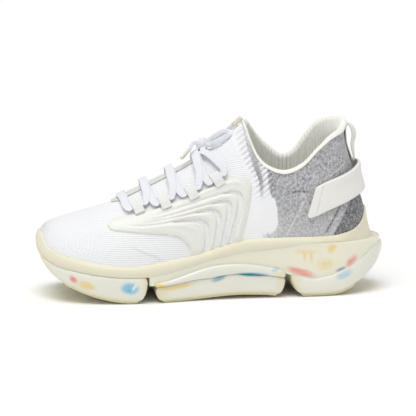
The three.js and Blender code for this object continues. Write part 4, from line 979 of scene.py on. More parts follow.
def make_carrier():
    """The moulded rim between upper and pods: a rounded lip against the knit, a band down to the pods
    that is slightly full along the sides and hollow round the heel, and a hidden wall behind them."""
    toe = TOE_CENTRE[0] - TOE_SPAN * (1 - np.linspace(0, 1, 60)[:-1])
    heel = HEEL_CENTRE[0] + HEEL_SPAN * np.linspace(0, 1, 100)
    stations = np.concatenate([toe, np.linspace(TOE_CENTRE[0], HEEL_CENTRE[0], 180)[:-1], heel])
    top = round_loop({side: contact(side) for side in SIDES}, stations)
    low = round_loop({side: np.column_stack([TRAY[side], tray_low(TRAY[side][:, 0])])
                      for side in SIDES}, stations)
    out = plan_out(low, 5)
    up = np.array([0, 0, 1.0])
    f = np.linspace(0.07, 1, 13)[:, None, None]
    lip = top + out * 1.7 - up * 0.9
    belly = (1.3 - 2.4 * smooth(low[:, 0], 108, 130))[None, :, None]
    band = lip + (low - lip) * f + out * (belly * np.sin(f * np.pi) ** 0.8)
    rows = [top - out * 4.5 - up * 3, top - out * 0.8 - up * 0.4, top + out * 0.2 + up * 0.05,
            top + out * 0.8 - up * 0.1, top + out * 1.35 - up * 0.4, top + out * 1.65 - up * 1.1, *band,
            low - out * 0.5 - up * 0.6, low - out * 1.6 - up * 0.8, low - out * 9 + up * 0.5]
    points = np.stack(rows, 1)
    g = np.arange(len(points))[:, None] + 0.0 * points[..., 0]
    obj = grid_object("carrier", [(points, (True, True), False)], [np.stack([g, points[..., 2]], -1) * MM])
    outward(obj)
    return placed(obj, "flex", "tray_shell", "tray_front", "tray_rear", material=CARRIER)


# ---------------------------------------------------------------- pods, window, treads
def in_drawn(point):
    """A frame point as drawn millimetres."""
    return np.array(point) / (SCALE * MM) + [MID_X, 0, 0]


# Chips seen through the outer side's walls: x, z, half length, half height, lean in degrees, weight, colour
SHOWN_CHIPS = [
    (-143.8, 26.3, 4.5, 3, -50, 0.35, "straw"), (-120.1, 21, 3.8, 2.4, -40, 0.85, "red"),
    (-109.5, 16.4, 7, 3.4, -15, 0.8, "yellow"), (-73.3, 13.7, 7.4, 4.8, -5, 0.9, "blue"),
    (-69.6, 14.6, 1.1, 3.6, -35, 0.9, "milk"), (-48.4, 15.3, 3.4, 2, 0, 0.8, "yellow"),
    (-32, 13.4, 14, 1.9, 8, 0.8, "yellow"), (2.9, 18.4, 6.6, 2, 18, 0.75, "teal"),
    (32, 21, 13, 1.8, -3, 0.95, "teal"), (40, 20.6, 6, 1.1, -4, 0.7, "deep"),
    (51.9, 24.5, 3, 1.8, 20, 0.45, "blue"), (65.4, 35.3, 8, 0.9, -4, 0.4, "blue"),
    (79, 39.2, 10, 2.2, 0, 0.5, "yellow"), (77.4, 34.6, 1.5, 3, 8, 0.7, "yellow"),
    (83.4, 34, 1.5, 2.8, 8, 0.7, "yellow"), (95.5, 27.6, 7.5, 4.8, 0, 0.4, "yellow"),
    (94.5, 28.5, 1.4, 3.6, 0, 0.65, "yellow"), (99.7, 28, 1.4, 3.2, 0, 0.6, "yellow"),
    (101.5, 41.8, 4.2, 3.2, 40, 0.75, "yellow"), (74.5, 21.6, 12.5, 2.7, -16, 0.85, "red"),
    (119.3, 29.6, 6.4, 3, 42, 0.7, "red"), (109.6, 22.9, 4.6, 1.5, 25, 0.8, "navy"),
    (112.4, 18.4, 7.4, 3.2, 22, 0.45, "blue")]
SHOWN_COLOURS = {**CHIP_COLOURS, "straw": srgb(232, 218, 150), "milk": srgb(236, 240, 240),
                 "navy": srgb(84, 96, 150)}


def chip_fields(points, names):
    """The colour that the foam chips behind a clear wall give it. On the outer side each chip is a
    leaning ellipse with a soft edge; on the inner side it is its solid's box."""
    x, y, z = np.moveaxis(points, -1, 0)
    colour, weight = np.ones(points.shape), np.zeros(x.shape)

    def lay(share, tone):
        """One chip over those before it."""
        nonlocal colour, weight
        covered = np.maximum(weight, share)
        mixed = (share / np.maximum(covered, 1e-6))[..., None]
        colour = colour * (1 - mixed) + np.array(tone) * mixed
        weight = covered
    for cx, cz, half_long, half_high, lean, strength, tone in SHOWN_CHIPS:
        c, s = math.cos(math.radians(lean)), math.sin(math.radians(lean))
        along, up = (x - cx) * c + (z - cz) * s, (z - cz) * c - (x - cx) * s
        r = (along / half_long) ** 2 + (up / half_high) ** 2
        lay(strength * np.exp(-r ** 2.4) * smooth(-y, 6, 20), SHOWN_COLOURS[tone])
    for name in names:
        low, high = (in_drawn(corner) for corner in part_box(name))
        middle, half = (low + high) / 2, np.maximum((high - low) / 2, 2.0) * 1.2
        if middle[1] > 0 or name.startswith("chip_heel"):
            gap = ((points - middle) / half)[..., [0, 2]]
            share = 0.75 * np.exp(-(gap ** 2).sum(-1) ** 2) * smooth(y, 6, 20)
            lay(share, CHIP_COLOURS[name.split("_")[-1]])
    return np.concatenate([colour, np.ones(x.shape + (1,))], -1), weight


def plan_loop(start, stop, count, corner):
    """A sole outline between two places along the shoe: lateral side from front to back, then the
    medial side, with straight ends whose corners are rounded by a running mean. An end that lies
    past the outline's tip follows the tip."""
    lateral = SOLE[-1][(SOLE[-1][:, 0] > start) & (SOLE[-1][:, 0] < stop)]
    medial = SOLE[1][(SOLE[1][:, 0] > start) & (SOLE[1][:, 0] < stop)]

    def at(side, x):
        """The outline's point at x."""
        order = np.maximum.accumulate(SOLE[side][:, 0])
        return [x, np.interp(x, order, SOLE[side][:, 1])]
    rows = [lateral, medial[::-1]]
    if start > SOLE[-1][0, 0]:
        rows = [[at(-1, start)], lateral, medial[::-1], [at(1, start)]]
    if stop < SOLE[-1][-1, 0]:
        k = len(rows) // 2
        rows = rows[:k] + [[at(-1, stop)], [at(1, stop)]] + rows[k:]
    loop = resampled(np.vstack(rows), count, closed=True)
    spacing = np.linalg.norm(loop[1] - loop[0])
    width = max(int(corner / spacing), 1)
    offsets = np.arange(-width, width + 1)
    weights = 0.5 + 0.5 * np.cos(offsets / (width + 1) * np.pi)
    mean = sum(np.roll(loop, k, 0) * w for k, w in zip(offsets, weights)) / weights.sum()
    near = np.minimum(np.abs(loop[:, 0] - start), np.abs(loop[:, 0] - stop))
    keep = smooth(near, corner * 0.8, corner * 2.5)[:, None] if corner else 1
    return loop * keep + mean * (1 - keep)


def dome(f, low, high, power):
    """An offset that starts and ends at low and reaches high between, as a rounded box."""
    return low + (high - low) * np.maximum(1 - np.abs(2 * f - 1) ** power, 0) ** (1 / power)


SPINE_ROWS = 14
WALL_REACH = (2, 18)   # how far from an end its wall still moves the points, fully and at all


def swept_pod(start, stop, bands, front_wall=None, rear_wall=None, corner=5.0, count=420, spine=24.0):
    """A closed body round a plan loop. bands are (upper line, lower line, shares, offset of a share)
    from the top down; each row's points sit at that share between the two lines, moved out by the
    offset. The first and last rows are drawn in to a spine, which closes the body. front_wall and
    rear_wall give the x of each end for a height."""
    loop = plan_loop(start, stop, count, corner)
    flat = np.column_stack([loop, np.zeros(len(loop))])
    out = plan_out(flat, 3)
    x = loop[:, 0]
    tip_low, tip_high = SOLE[-1][0, 0], SOLE[-1][-1, 0]
    spine_x = np.clip(x, max(start, tip_low) + spine, min(stop, tip_high) - spine)
    centre = np.column_stack([spine_x, 0 * x, 0 * x])
    rows = []
    for upper, lower, steps, offset in bands:
        for f in steps:
            z = upper(x) + (lower(x) - upper(x)) * f
            p = flat + out * (offset(f) + 0 * x)[:, None]
            p[:, 2] = z
            rows.append(p)
    top, base = rows[0].copy(), rows[-1].copy()

    def closing(edge, shares):
        """Rows that draw the edge in to the spine."""
        made = []
        for share in shares:
            p = edge * (1 - share) + centre * share
            p[:, 2] = np.interp(p[:, 0], np.sort(x), edge[np.argsort(x), 2])
            made.append(p)
        return made
    shares = np.linspace(0, 1, SPINE_ROWS)[1:]
    rows = closing(top, shares[::-1]) + rows + closing(base, shares)
    points = np.stack(rows, 1)
    for wall, place in ((front_wall, start), (rear_wall, stop)):
        if wall is not None:
            near = 1 - smooth(np.abs(points[..., 0] - place), *WALL_REACH)
            points[..., 0] += near * (wall(points[..., 2]) - place)
    return points


def eased(n, a=0.0, b=1.0):
    """n shares from a to b of a half turn, closer together at its ends."""
    return 0.5 - 0.5 * np.cos(np.linspace(a, b, n) * np.pi)


def notch_wall(rows):
    """x of a notch's wall for a height, from (height, x) rows."""
    heights, places = zip(*rows)
    return lambda z: np.interp(z, heights, places)


TREAD_DEPTH = 1.7
NOTCH_ONE_FRONT = notch_wall([(0, -65), (4, -61.5), (8, -59.8), (12, -58.8), (17, -58)])
NOTCH_ONE_REAR = notch_wall([(0, -46.5), (3, -49), (8, -50.8), (17, -51.3)])
NOTCH_TWO_FRONT = notch_wall([(0, 54), (4, 57.8), (9, 59.6), (15, 61), (21.5, 60)])
NOTCH_TWO_REAR = notch_wall([(0, 74.5), (3, 72.2), (6, 70.3), (12, 67.5), (17.6, 65.7), (21.5, 64)])
groove = profile([[-60, 12], [-40, 14.6], [-19, 17.7], [-3, 19], [18, 21.6], [34, 20.5], [47, 19.3],
                  [60, 17]])
floor_line = lambda x: bottom(x) + TREAD_DEPTH - 0.4
FORE_CHIPS = ("chip_front_red", "chip_front_yellow", "chip_front_blue", "chip_medial_red",
              "chip_medial_blue")
MID_CHIPS = ("chip_mid_yellow", "chip_mid_teal", "chip_mid_deep", "chip_medial_yellow")
HEEL_CHIPS = ("chip_heel_red", "chip_heel_yellow", "chip_heel_blue")


def clear_piece(name, points, chips, body, slot, material, *nodes, edge=None):
    """A clear body with its tint from the chips, and yellower edges near the ground and the ends."""
    tint, weight = chip_fields(points, chips)
    low = 1 - smooth(points[..., 2] - bottom(points[..., 0]), 1.0, 6.0)
    ends = 0 if edge is None else edge(points)
    fields = {"tint": [tint], "tint_weight": [weight], "edge": [np.maximum(low * 0.8, ends)]}
    obj = merge(grid_object(name, [(points, (True, False), False)], None, fields))
    outward(obj)
    return placed(obj, body, slot, *nodes, material=material)


def two_domes(upper, lower):
    """A band's offset: one dome's rise in its upper half, and another's fall in its lower half."""
    return lambda f: dome(f, *upper) if f < 0.5 else dome(f, *lower)


def make_pods():
    """The three clear pods; the middle one has a groove along it between a bead and a wall."""
    fore_band = [(lambda x: tray_low(x) - 0.4, floor_line, eased(30, 0.04, 1),
                  lambda f: dome(f, -5.0, 0.2, 3.4))]
    fore = swept_pod(-200, -57.5, fore_band, rear_wall=NOTCH_ONE_FRONT, count=460, spine=30)
    clear_piece("pod_forefoot", fore, FORE_CHIPS, FRONT, "clear_sole", CLEAR_POD, "forefoot_pod",
                edge=lambda p: (0.7 * smooth(p[..., 0], -66, -58)
                                + 0.5 * (1 - smooth(p[..., 0], -146, -134))))
    mid_bands = [(pod_top, groove, eased(16), two_domes((-2.6, 1.3, 2.2), (-1.7, 1.3, 2.2))),
                 (groove, floor_line, eased(22)[1:], two_domes((-1.7, 0.5, 2.6), (-5.0, 0.5, 2.8)))]
    middle = swept_pod(-50, 60, mid_bands, NOTCH_ONE_REAR, NOTCH_TWO_FRONT, count=460)
    clear_piece("pod_midfoot", middle, MID_CHIPS, REAR, "clear_sole", CLEAR_POD, "midfoot_pod",
                edge=lambda p: 0.7 * (1 - smooth(p[..., 0], -48, -38)) + 0.5 * smooth(p[..., 0], 50, 58))
    heel_band = [(pod_top, floor_line, eased(34), two_domes((-3.6, 1.0, 2.2), (-5.5, 1.0, 2.4)))]
    heel = swept_pod(65, 200, heel_band, NOTCH_TWO_REAR, corner=9, count=460, spine=30)
    clear_piece("pod_heel", heel, HEEL_CHIPS, REAR, "clear_sole", CLEAR_POD, "heel_pod",
                edge=lambda p: 0.6 * (1 - smooth(p[..., 0], 66, 78)))


def make_window():
    """The midsole's clear window between the carrier and the pods, a little inside their faces."""
    band = [(lambda x: tray_low(x) + 2.5, lambda x: pod_top(x) - 2.5, eased(14),
             lambda f: -1.5 + 0.4 * np.sin(f * np.pi))]
    points = swept_pod(-58, 200, band, count=520, spine=30)
    clear_piece("window", points, HEEL_CHIPS + MID_CHIPS, REAR, "clear_sole", CLEAR_WINDOW,
                "midsole_window")


TREADS = (("tread_front", -131, -57.5, FRONT, "tread_forefoot", None, NOTCH_ONE_FRONT),
          ("tread_middle", -50, 60, REAR, "tread_midfoot", NOTCH_ONE_REAR, NOTCH_TWO_FRONT),
          ("tread_rear", 65, 126, REAR, "tread_heel", NOTCH_TWO_REAR, None))
TREAD_CUT_PITCH, TREAD_CUT_DEPTH = 6.5, 0.9
TREAD_WALL_ROWS = 22   # rows before the ones that lie on the tread's underside


def make_treads():
    """The three rubber pads under the pods, with rounded cuts across each."""
    band = [(lambda x: bottom(x) + TREAD_DEPTH + 1.0, bottom, eased(9),
             lambda f: dome(max(f, 0.5), -3.6, -2.2, 2.4))]
    for name, start, stop, body, node, front, rear in TREADS:
        points = swept_pod(start, stop, band, front, rear, count=400)
        cuts = 0.5 - 0.5 * np.cos(points[..., 0] * 2 * np.pi / TREAD_CUT_PITCH)
        below = points[..., 2] < bottom(points[..., 0]) + 0.05
        sole_face = below & (np.arange(points.shape[1]) > TREAD_WALL_ROWS)[None, :]
        points[..., 2] += np.where(sole_face, TREAD_CUT_DEPTH * smooth(cuts, 0.8, 0.95), 0)
        obj = outward(merge(grid_object(name, [(points, (True, False), False)])))
        placed(obj, body, "tread_rubber", node, material=TREAD_RUBBER)


make_carrier()
make_pods()
make_window()
make_treads()


# ---------------------------------------------------------------- side cages
CAGE_TOP = sampled([[-90, 64], [-87.5, 68], [-82, 69.8], [-63, 73.8], [-41.6, 79.6], [-12, 90.8],
                    [10, 99.8], [20.5, 103.6], [28, 103], [32.3, 97], [31.5, 86], [29, 74],
                    [25.5, 61], [22, 40], [21, 34]], 5)
CAGE_UNDER = sampled([[-22, 34], [-21.5, 43.5], [-27, 52], [-35, 56.3], [-60, 58.6], [-80, 60], [-87.5, 61],
                      [-90, 64]], 5)
CAGE_SLOTS = [sampled(rows, 6) for rows in (
    [[9, 89.6], [17, 90.4], [22, 87.6], [22.6, 80], [19, 66], [15, 54], [12, 36]],
    [[-1, 81.5], [8, 82.8], [12.6, 80.4], [13, 73], [10.6, 62], [8, 52], [5.6, 36]],
    [[-15, 74.4], [-3, 75.8], [2.4, 73.2], [4, 67], [3, 58], [1, 49], [-0.6, 36]],
    [[-35, 67], [-18, 68], [-9, 65.2], [-6.3, 59], [-6.4, 51], [-7.6, 44], [-9, 36]])]
# Pressed lines that carry each slot on towards the front tip
CAGE_CREASES = [sampled(rows, 6) for rows in (
    [[9, 89.6], [-10, 84], [-36, 75.5], [-60, 69.5]], [[-1, 81.5], [-20, 76.5], [-42, 70.5], [-64, 67]],
    [[-15, 74.4], [-34, 70], [-52, 66.8], [-68, 65.2]], [[-35, 67], [-50, 64.6], [-66, 63.4], [-76, 63.2]])]
CAGE_RIDGES = [sampled(rows, 6) for rows in (
    [[-20, 85.5], [4, 94.5], [18, 98.4], [25, 96], [26.6, 86], [22, 66], [16.8, 40]],
    [[-34, 73.6], [-8, 81.8], [8, 86.4], [15.6, 85.4], [17.6, 76], [14.4, 62], [9.2, 40]],
    [[-40, 69], [-20, 75], [-4, 79], [5.4, 77.6], [8.4, 70], [6.6, 56], [2.8, 40]],
    [[-46, 66], [-28, 69.4], [-12, 71.4], [-3.4, 69], [-1, 62], [-2, 50], [-4.6, 40]],
    [[-58, 62.8], [-38, 63.4], [-22, 62.6], [-14, 57.6], [-12.6, 50], [-14.6, 38]])]


def inside(x, z, line):
    """Whether each point lies in the closed line: a level ray crosses it an odd number of times."""
    odd = np.zeros(x.shape, bool)
    for (x0, z0), (x1, z1) in zip(line, np.roll(line, -1, 0)):
        if z0 != z1:
            odd ^= ((z0 > z) != (z1 > z)) & (x < (x1 - x0) * (z - z0) / (z1 - z0) + x0)
    return odd


CAGE_STEP = 0.55       # spacing of the cage's points
CAGE_SHOULDER = 1.7    # how far in from an edge the cage reaches its height
CAGE_HEIGHT, CAGE_WALL = 1.75, 0.6


def make_cage(side, name, node):
    """A moulded cage: its height rises with a round shoulder from the outline and from the four
    slots, a soft crest runs along each rib, and a crease carries each slot on towards the tip."""
    gx, gz = np.meshgrid(np.arange(-92, 35, CAGE_STEP), np.arange(34, 106, CAGE_STEP), indexing="ij")
    outline = np.vstack([CAGE_TOP, CAGE_UNDER])
    edge = line_distance(gx, gz, np.vstack([outline, outline[:1]]))[0]
    depth = np.where(inside(gx, gz, outline), edge, -edge)
    for slot in CAGE_SLOTS:
        gap, place = line_distance(gx, gz, slot)
        half = np.interp(place, [0, 0.12, 0.3, 0.6, 1], [0.3, 1.2, 2.0, 1.9, 1.8])
        depth = np.minimum(depth, gap - half)
    rise = np.clip(depth / CAGE_SHOULDER, 0, 1)
    height = CAGE_HEIGHT * np.sqrt(np.maximum(1 - (1 - rise) ** 2, 0))
    crest = sum(np.exp(-(line_distance(gx, gz, line)[0] / 1.5) ** 2) for line in CAGE_RIDGES)
    height += 0.6 * np.clip(crest, 0, 1) * rise * (0.35 + 0.65 * smooth(gx, -70, -25))
    for line in CAGE_CREASES:
        gap, place = line_distance(gx, gz, line)
        height -= 1.0 * np.exp(-(gap / 0.9) ** 2) * (1 - smooth(place, 0.4, 1)) * rise
    rim_line = smooth(edge, 0.4, 1.4) * (1 - smooth(edge, 1.9, 3))
    height -= 0.5 * np.exp(-((depth - CAGE_SHOULDER) / 0.45) ** 2) * rim_line * rise
    height = np.where(depth < 0, -0.25 + 1.1 * np.maximum(depth, -0.7), height)
    tucked = smooth(gz - bite(gx), -0.5, 5)
    height = np.where(depth < 0, height, height * (0.3 + 0.7 * tucked))
    points = on_side(gx, gz, side, height + 0.25 * tucked)
    quads = grid_faces(*gx.shape, flip=side > 0)
    kept = quads[((depth > -0.8) & (gz > bite(gx) - 2.5)).ravel()[quads].all(1)]
    used = np.unique(kept)
    table = np.zeros(gx.size, int)
    table[used] = np.arange(len(used))
    uv = np.stack([gx, gz], -1).reshape(-1, 2)[kept].reshape(-1, 2) * MM
    obj = mesh_object(name, points.reshape(-1, 3)[used], table[kept], uv)
    wall = obj.modifiers.new("Wall", "SOLIDIFY")
    wall.thickness, wall.offset = CAGE_WALL * MM, -1
    return placed(applied(obj), "flex", "cage_shell", node, material=CAGE_SHELL)


make_cage(-1, "cage_outer_side", "cage_lateral")
make_cage(1, "cage_inner_side", "cage_medial")


# ---------------------------------------------------------------- tapes and cords
def tape(points, outs, widths, depth, sides=16, closed=False, squareness=0.62):
    """A flat cord's grid: a rounded-box section across each point of the path, wide along the
    direction square to the path and to its flat face. uv runs along the cord and across it. An open
    cord's ends close on their middle points."""
    ahead = np.roll(points, -1, 0) - np.roll(points, 1, 0)
    if not closed:
        ahead[0], ahead[-1] = points[1] - points[0], points[-1] - points[-2]
    ahead = unit(ahead)
    wide = unit(np.cross(ahead, outs))
    high = np.cross(wide, ahead)
    a = (np.arange(sides) + 0.5) / sides * 2 * np.pi
    cx = np.sign(np.cos(a)) * np.abs(np.cos(a)) ** squareness
    cz = np.sign(np.sin(a)) * np.abs(np.sin(a)) ** squareness
    widths = np.broadcast_to(widths, len(points))
    grid = (points[:, None] + wide[:, None] * (cx[None, :, None] * widths[:, None, None] / 2)
            + high[:, None] * (cz[None, :, None] * depth / 2))
    arc = np.concatenate([[0], np.cumsum(np.linalg.norm(np.diff(points, axis=0), axis=1))])
    uv = np.stack([arc[:, None] + 0 * cx[None, :], cx[None, :] * widths[:, None] / 2], -1)
    if not closed:
        first, last = (np.repeat(end[:, None], sides, 1) for end in (points[:1], points[-1:]))
        grid = np.concatenate([first, grid, last])
        uv = np.concatenate([uv[:1], uv, uv[-1:]])
    return (grid, (closed, True), False), uv * MM


def fine_route(rows, each=8):
    """A route through places with an outward direction each, as finely spaced points and directions."""
    points = np.array([p for p, _ in rows])
    outs = np.array([o for _, o in rows])
    steps = np.linspace(0, len(rows) - 1, (len(rows) - 1) * each + 1)
    return spline(points)(steps), unit(spline(outs)(steps)), steps


def spot(x, z, side):
    """A place on the upper with its directions: out, along the shoe, and up the side."""
    u, t = side_place(np.float64(x), np.float64(z), side)
    point, out = surface(u, t, side), normal(u, t, side)
    ahead = unit(surface(u + 0.05, t, side) - point)
    up = unit(np.cross(out, ahead))
    return {"u": float(u), "t": float(t), "point": point, "out": out, "ahead": ahead,
            "up": up if up[2] > 0 else -up}


def across(u, a, lift):
    """A place over the upper, with a from -1 (lateral edge) over the ridge (0) to 1 (medial edge)."""
    side = -1 if a < 0 else 1
    out = normal(u, 1 - abs(a), side)
    return surface(u, 1 - abs(a), side) + out * lift, out


LOOPS = [[-63.5, 78], [-41.5, 83], [-18.5, 91], [3.5, 101.5]]
LOOP_LONG, LOOP_TALL, LOOP_WALL = 8.6, 13.0, 0.9
LOOP_LIFT, LACE_LIFT = 0.75, 3.2
EXIT = LOOP_LONG / 2 + LACE_WIDTH / 2   # from a loop's middle to where the lace is free of it
UNDER, OVER = 2.9, 5.3   # how far over the upper the lower and the upper crossing lie
KNOT = np.array([-5, 0, 128.5])
CROSS_STEPS = 8


def through_loop(index, side):
    """The straight stretch inside a webbing loop."""
    place = spot(*LOOPS[index], side)
    lifted = place["point"] + place["out"] * LACE_LIFT
    return [(lifted + place["ahead"] * d, place["out"])
            for d in (-EXIT, -LOOP_LONG / 2, 0, LOOP_LONG / 2, EXIT)]


def crossing(first, second, side, lift):
    """From behind one loop straight over the ridge, then turning to the front of the next loop."""
    a, b = spot(*LOOPS[first], side), spot(*LOOPS[second], -side)
    u0, u1 = section_at(LOOPS[first][0] + EXIT + 1.5), section_at(LOOPS[second][0] - EXIT - 1.5)
    rows = []
    for k in range(1, CROSS_STEPS):
        f = k / CROSS_STEPS
        turn = min(max((f - 0.5) / 0.5, 0), 1)
        level = side * (1 - a["t"]) * (1 - f) - side * (1 - b["t"]) * f
        rise = min(1, 4 * min(f, 1 - f))
        rows.append(across(u0 + (u1 - u0) * turn ** 1.5, level, LACE_LIFT + (lift - LACE_LIFT) * rise))
    return rows


def lace_half(first):
    """One half of the lace: from the bar in front, through the loops by turns, and up to the knot."""
    start = spot(*LOOPS[0], first)
    rows = []
    for k in range(5):
        f = k / 5
        u = section_at(LOOPS[0][0] - EXIT - 1.5 - 3 * (1 - f) ** 2)
        rows.append(across(u, first * (1 - start["t"]) * f * 0.98, UNDER + (LACE_LIFT - UNDER) * f))
    side, narrow = first, []
    for i in range(len(LOOPS)):
        narrow += [len(rows), len(rows) + 4]
        rows += through_loop(i, side)
        if i < len(LOOPS) - 1:
            rows += crossing(i, i + 1, side, OVER if side < 0 else UNDER)
            side = -side
    top = spot(*LOOPS[-1], side)
    u0, u1 = section_at(LOOPS[-1][0] + EXIT + 1), section_at(KNOT[0])
    for k in range(1, 8):
        f = k / 8
        rows.append(across(u0 + (u1 - u0) * f, side * (1 - top["t"]) * (1 - f * 0.9),
                           LACE_LIFT + (OVER + 0.5 - LACE_LIFT) * f))
    rows.append((KNOT + [0, side * 2.2, -2.2], rows[-1][1]))
    points, outs, steps = fine_route(rows)
    pinch = np.max([np.exp(-((steps - (k + 2 if j % 2 == 0 else k - 2)) / 2.6) ** 2)
                    for j, k in enumerate(narrow)], axis=0)
    widths = 7.4 - 2.6 * pinch
    widths = widths - 2.4 * smooth(steps, steps[-1] - 5, steps[-1])
    return tape(points, outs, widths, LACE_THICK, 18)


def ring(centre, first, second, radii, width, depth):
    """A strand wound round a centre, in the plane of two directions."""
    a = np.linspace(0, 2 * np.pi, 61)[:-1]
    first, second = unit(np.array(first, float)), unit(np.array(second, float))
    outs = first * np.cos(a)[:, None] + second * np.sin(a)[:, None]
    points = centre + first * (np.cos(a) * radii[0])[:, None] + second * (np.sin(a) * radii[1])[:, None]
    return tape(points, outs, width, depth, 16, closed=True, squareness=0.8)


def make_lace():
    """Both halves of the lace, and the four strands of its knot."""
    parts = [lace_half(-1), lace_half(1),
             ring(KNOT, [0.25, 1, 0], [-0.2, 0, 1], (4.2, 4.2), 5.4, 2.2),
             ring(KNOT + [1.6, 0.3, 0.4], [0.8, 0.6, -0.2], [0.1, 0, 1], (3.9, 3.6), 4.4, 2.0),
             ring(KNOT + [-1.4, -0.6, -0.3], [0.5, -0.8, 0.3], [0.4, 0.1, 1], (3.7, 3.3), 4.0, 2.0),
             ring(KNOT, [1, 0, 0.2], [0, 1, 0], (3.2, 2.6), 5.0, 3.2)]
    obj = merge(grid_object("laces", [grid for grid, _ in parts], [uv for _, uv in parts]))
    outward(obj)
    return placed(obj, "flex", "lace_cord", "lace", material=LACE_CLOTH)


def make_loop(index, side, node):
    """A webbing loop: one strip up the side, folded over the lace, and back down on itself."""
    place = spot(*LOOPS[index], side)
    top, back = LACE_WIDTH / 2 + 1.3, 4.0
    rows = [(top - LOOP_TALL, 0.45), (top - 8, 0.45), (top - 2.5, 0.45), (top - 0.7, 0.9), (top, 2.1),
            (top - 0.7, back - 0.6), (top - 2.5, back), (top - 7, back), (top - 10.2, 2.6),
            (top - LOOP_TALL, 1.5)]
    line = sampled(rows, 6)
    d = np.gradient(line, axis=0)
    flat = unit(np.stack([-d[:, 1], d[:, 0]], 1))
    origin = place["point"] + place["out"] * LOOP_LIFT
    points = origin + place["up"] * line[:, :1] + place["out"] * line[:, 1:]
    outs = place["up"] * flat[:, :1] + place["out"] * flat[:, 1:]
    grid, uv = tape(points, outs, LOOP_LONG, LOOP_WALL, 20, squareness=0.35)
    obj = outward(merge(grid_object("webbing_" + node, [grid], [uv])))
    body = "flex" if index == 0 else REAR
    return placed(obj, body, "webbing", node, material=WEBBING)


make_lace()
for side, word in ((-1, "lateral"), (1, "medial")):
    for index in range(len(LOOPS)):
        make_loop(index, side, f"lace_loop_{word}_{index + 1}")

# ---------------------------------------------------------------- the lace's free ends
LEFT_ROUTE = [[-1, 0.8, 127.5], [-6.5, -0.2, 129], [-11.6, -1.5, 129.5], [-13.8, -2.6, 129],
              [-15.4, -4, 127.2], [-16.4, -5.2, 125], [-20.6, -6.9, 120.7], [-24.2, -8.2, 117.2]]
RIGHT_ROUTE = [[-6, 1, 127.4], [-2, 2.4, 128.2], [1.4, 3, 129.4], [5, 3.4, 131], [9, 3.2, 133.4],
               [13.5, 2.4, 136.6], [18, 1.4, 140.4], [21.6, 0.6, 143.6], [25.5, 0.2, 147.2],
               [29, 0, 150.3]]
BOW_ROUTE = [[-4.4, -1.4, 129.4], [0.8, -2.4, 131.4], [4, -3.6, 134.6], [9, -4, 137.6], [14, -4.2, 139.4],
             [17.6, -5, 138.8], [17.9, -6.6, 137.3], [14.6, -7.4, 135.1], [9.5, -7.4, 132.2],
             [5, -6.4, 129.8], [2, -4.9, 128.2], [-3, -2.6, 127.2]]


def as_path(points):
    """Drawn points as places in the frame."""
    return [tuple(p) for p in (points - [MID_X, 0, 0]) * SCALE * MM]


def free_cord(name, route, facing, node, width=4.0, depth=1.5):
    """A free end of the lace: flat cord along its route, with its flat face to one side."""
    points = resampled(sampled(route, 12), 90)
    outs = np.broadcast_to(unit(np.array(facing, float)), points.shape)
    grid, uv = tape(points, outs, width, depth, 16)
    obj = outward(merge(grid_object(name, [grid], [uv])))
    placed(obj, REAR, "lace_cord", node, material=LACE_CLOTH)
    path = as_path(points)
    return (obj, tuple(path[0]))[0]


def make_aglet(name, node, start, stop, radius):
    """A rolled film sleeve: slightly flared at the cord, with a rounded tip."""
    line = np.linspace(start, stop, 24)
    f = np.linspace(0, 1, 24)
    tip = np.clip((f - 0.9) / 0.1, 0, 1)
    shape = radius * np.sqrt(1 - 0.7 * tip ** 2) * (1 + 0.06 * (f < 0.08))
    grid, uv = tape(line, np.broadcast_to([0, 1.0, 0], line.shape), 2 * shape, 1.6 * radius, 20,
                    squareness=1.0)
    obj = outward(merge(grid_object(name, [grid], [uv])))
    return placed(obj, REAR, "aglet_film", node, material=AGLET_FILM)


left_aglet = make_aglet("aglet_left_tip", "aglet_left", [-16.6, -5.4, 124.6], [-24.6, -8.4, 116.8], 1.5)
right_aglet = make_aglet("aglet_right_tip", "aglet_right", [21.9, 0.5, 144.1], [29.4, 0, 150.6], 2.1)
free_cord("lace_end_front", LEFT_ROUTE, [0.2, -1, 0.2], "lace_end_left",
          3.4, 1.6)
free_cord("lace_end_rear", RIGHT_ROUTE, [0, -1, 0.1], "lace_end_right")
free_cord("lace_bow_loop", BOW_ROUTE, [0, -1, 0.15], "lace_bow", 4.4)


# ---------------------------------------------------------------- tongue band
def make_band():
    """The flat band along the ridge that the crossings lie on, with a bound edge."""
    plan = np.array([[-84, 0.5], [-82, 3.6], [-78, 6.6], [-62, 7], [-45, 7], [-17, 5.5], [-6, 5]])
    x = np.linspace(-84, -6, 130)
    half = np.interp(x, plan[:, 0], plan[:, 1])
    a = np.linspace(-1, 1, 31)
    y = a[None, :] * half[:, None]
    u = section_at(x)[:, None] + 0 * y
    grid = np.empty(y.shape + (3,))
    for side in SIDES:
        low, high = np.zeros(y.shape), np.ones(y.shape)
        for _ in range(24):
            middle = (low + high) / 2
            beyond = np.abs(surface(u, middle, side)[..., 1]) > np.abs(y)
            low, high = np.where(beyond, middle, low), np.where(beyond, high, middle)
        here = (y < 0) if side < 0 else (y >= 0)
        lift = 0.9 + 0.35 * np.exp(-((1 - np.abs(a)) / 0.12) ** 2)[None, :] + 0 * y
        made = surface(u, low, side) + normal(u, low, side) * lift[..., None]
        grid[here] = made[here]
    uv = np.stack([grid[..., 0], grid[..., 1]], -1) * MM
    obj = grid_object("tongue_strip", [(grid, (False, False), False)], [uv])
    thick(obj, 0.8)
    return placed(obj, "flex", "webbing", "tongue_band", material=BAND_CLOTH)


make_band()

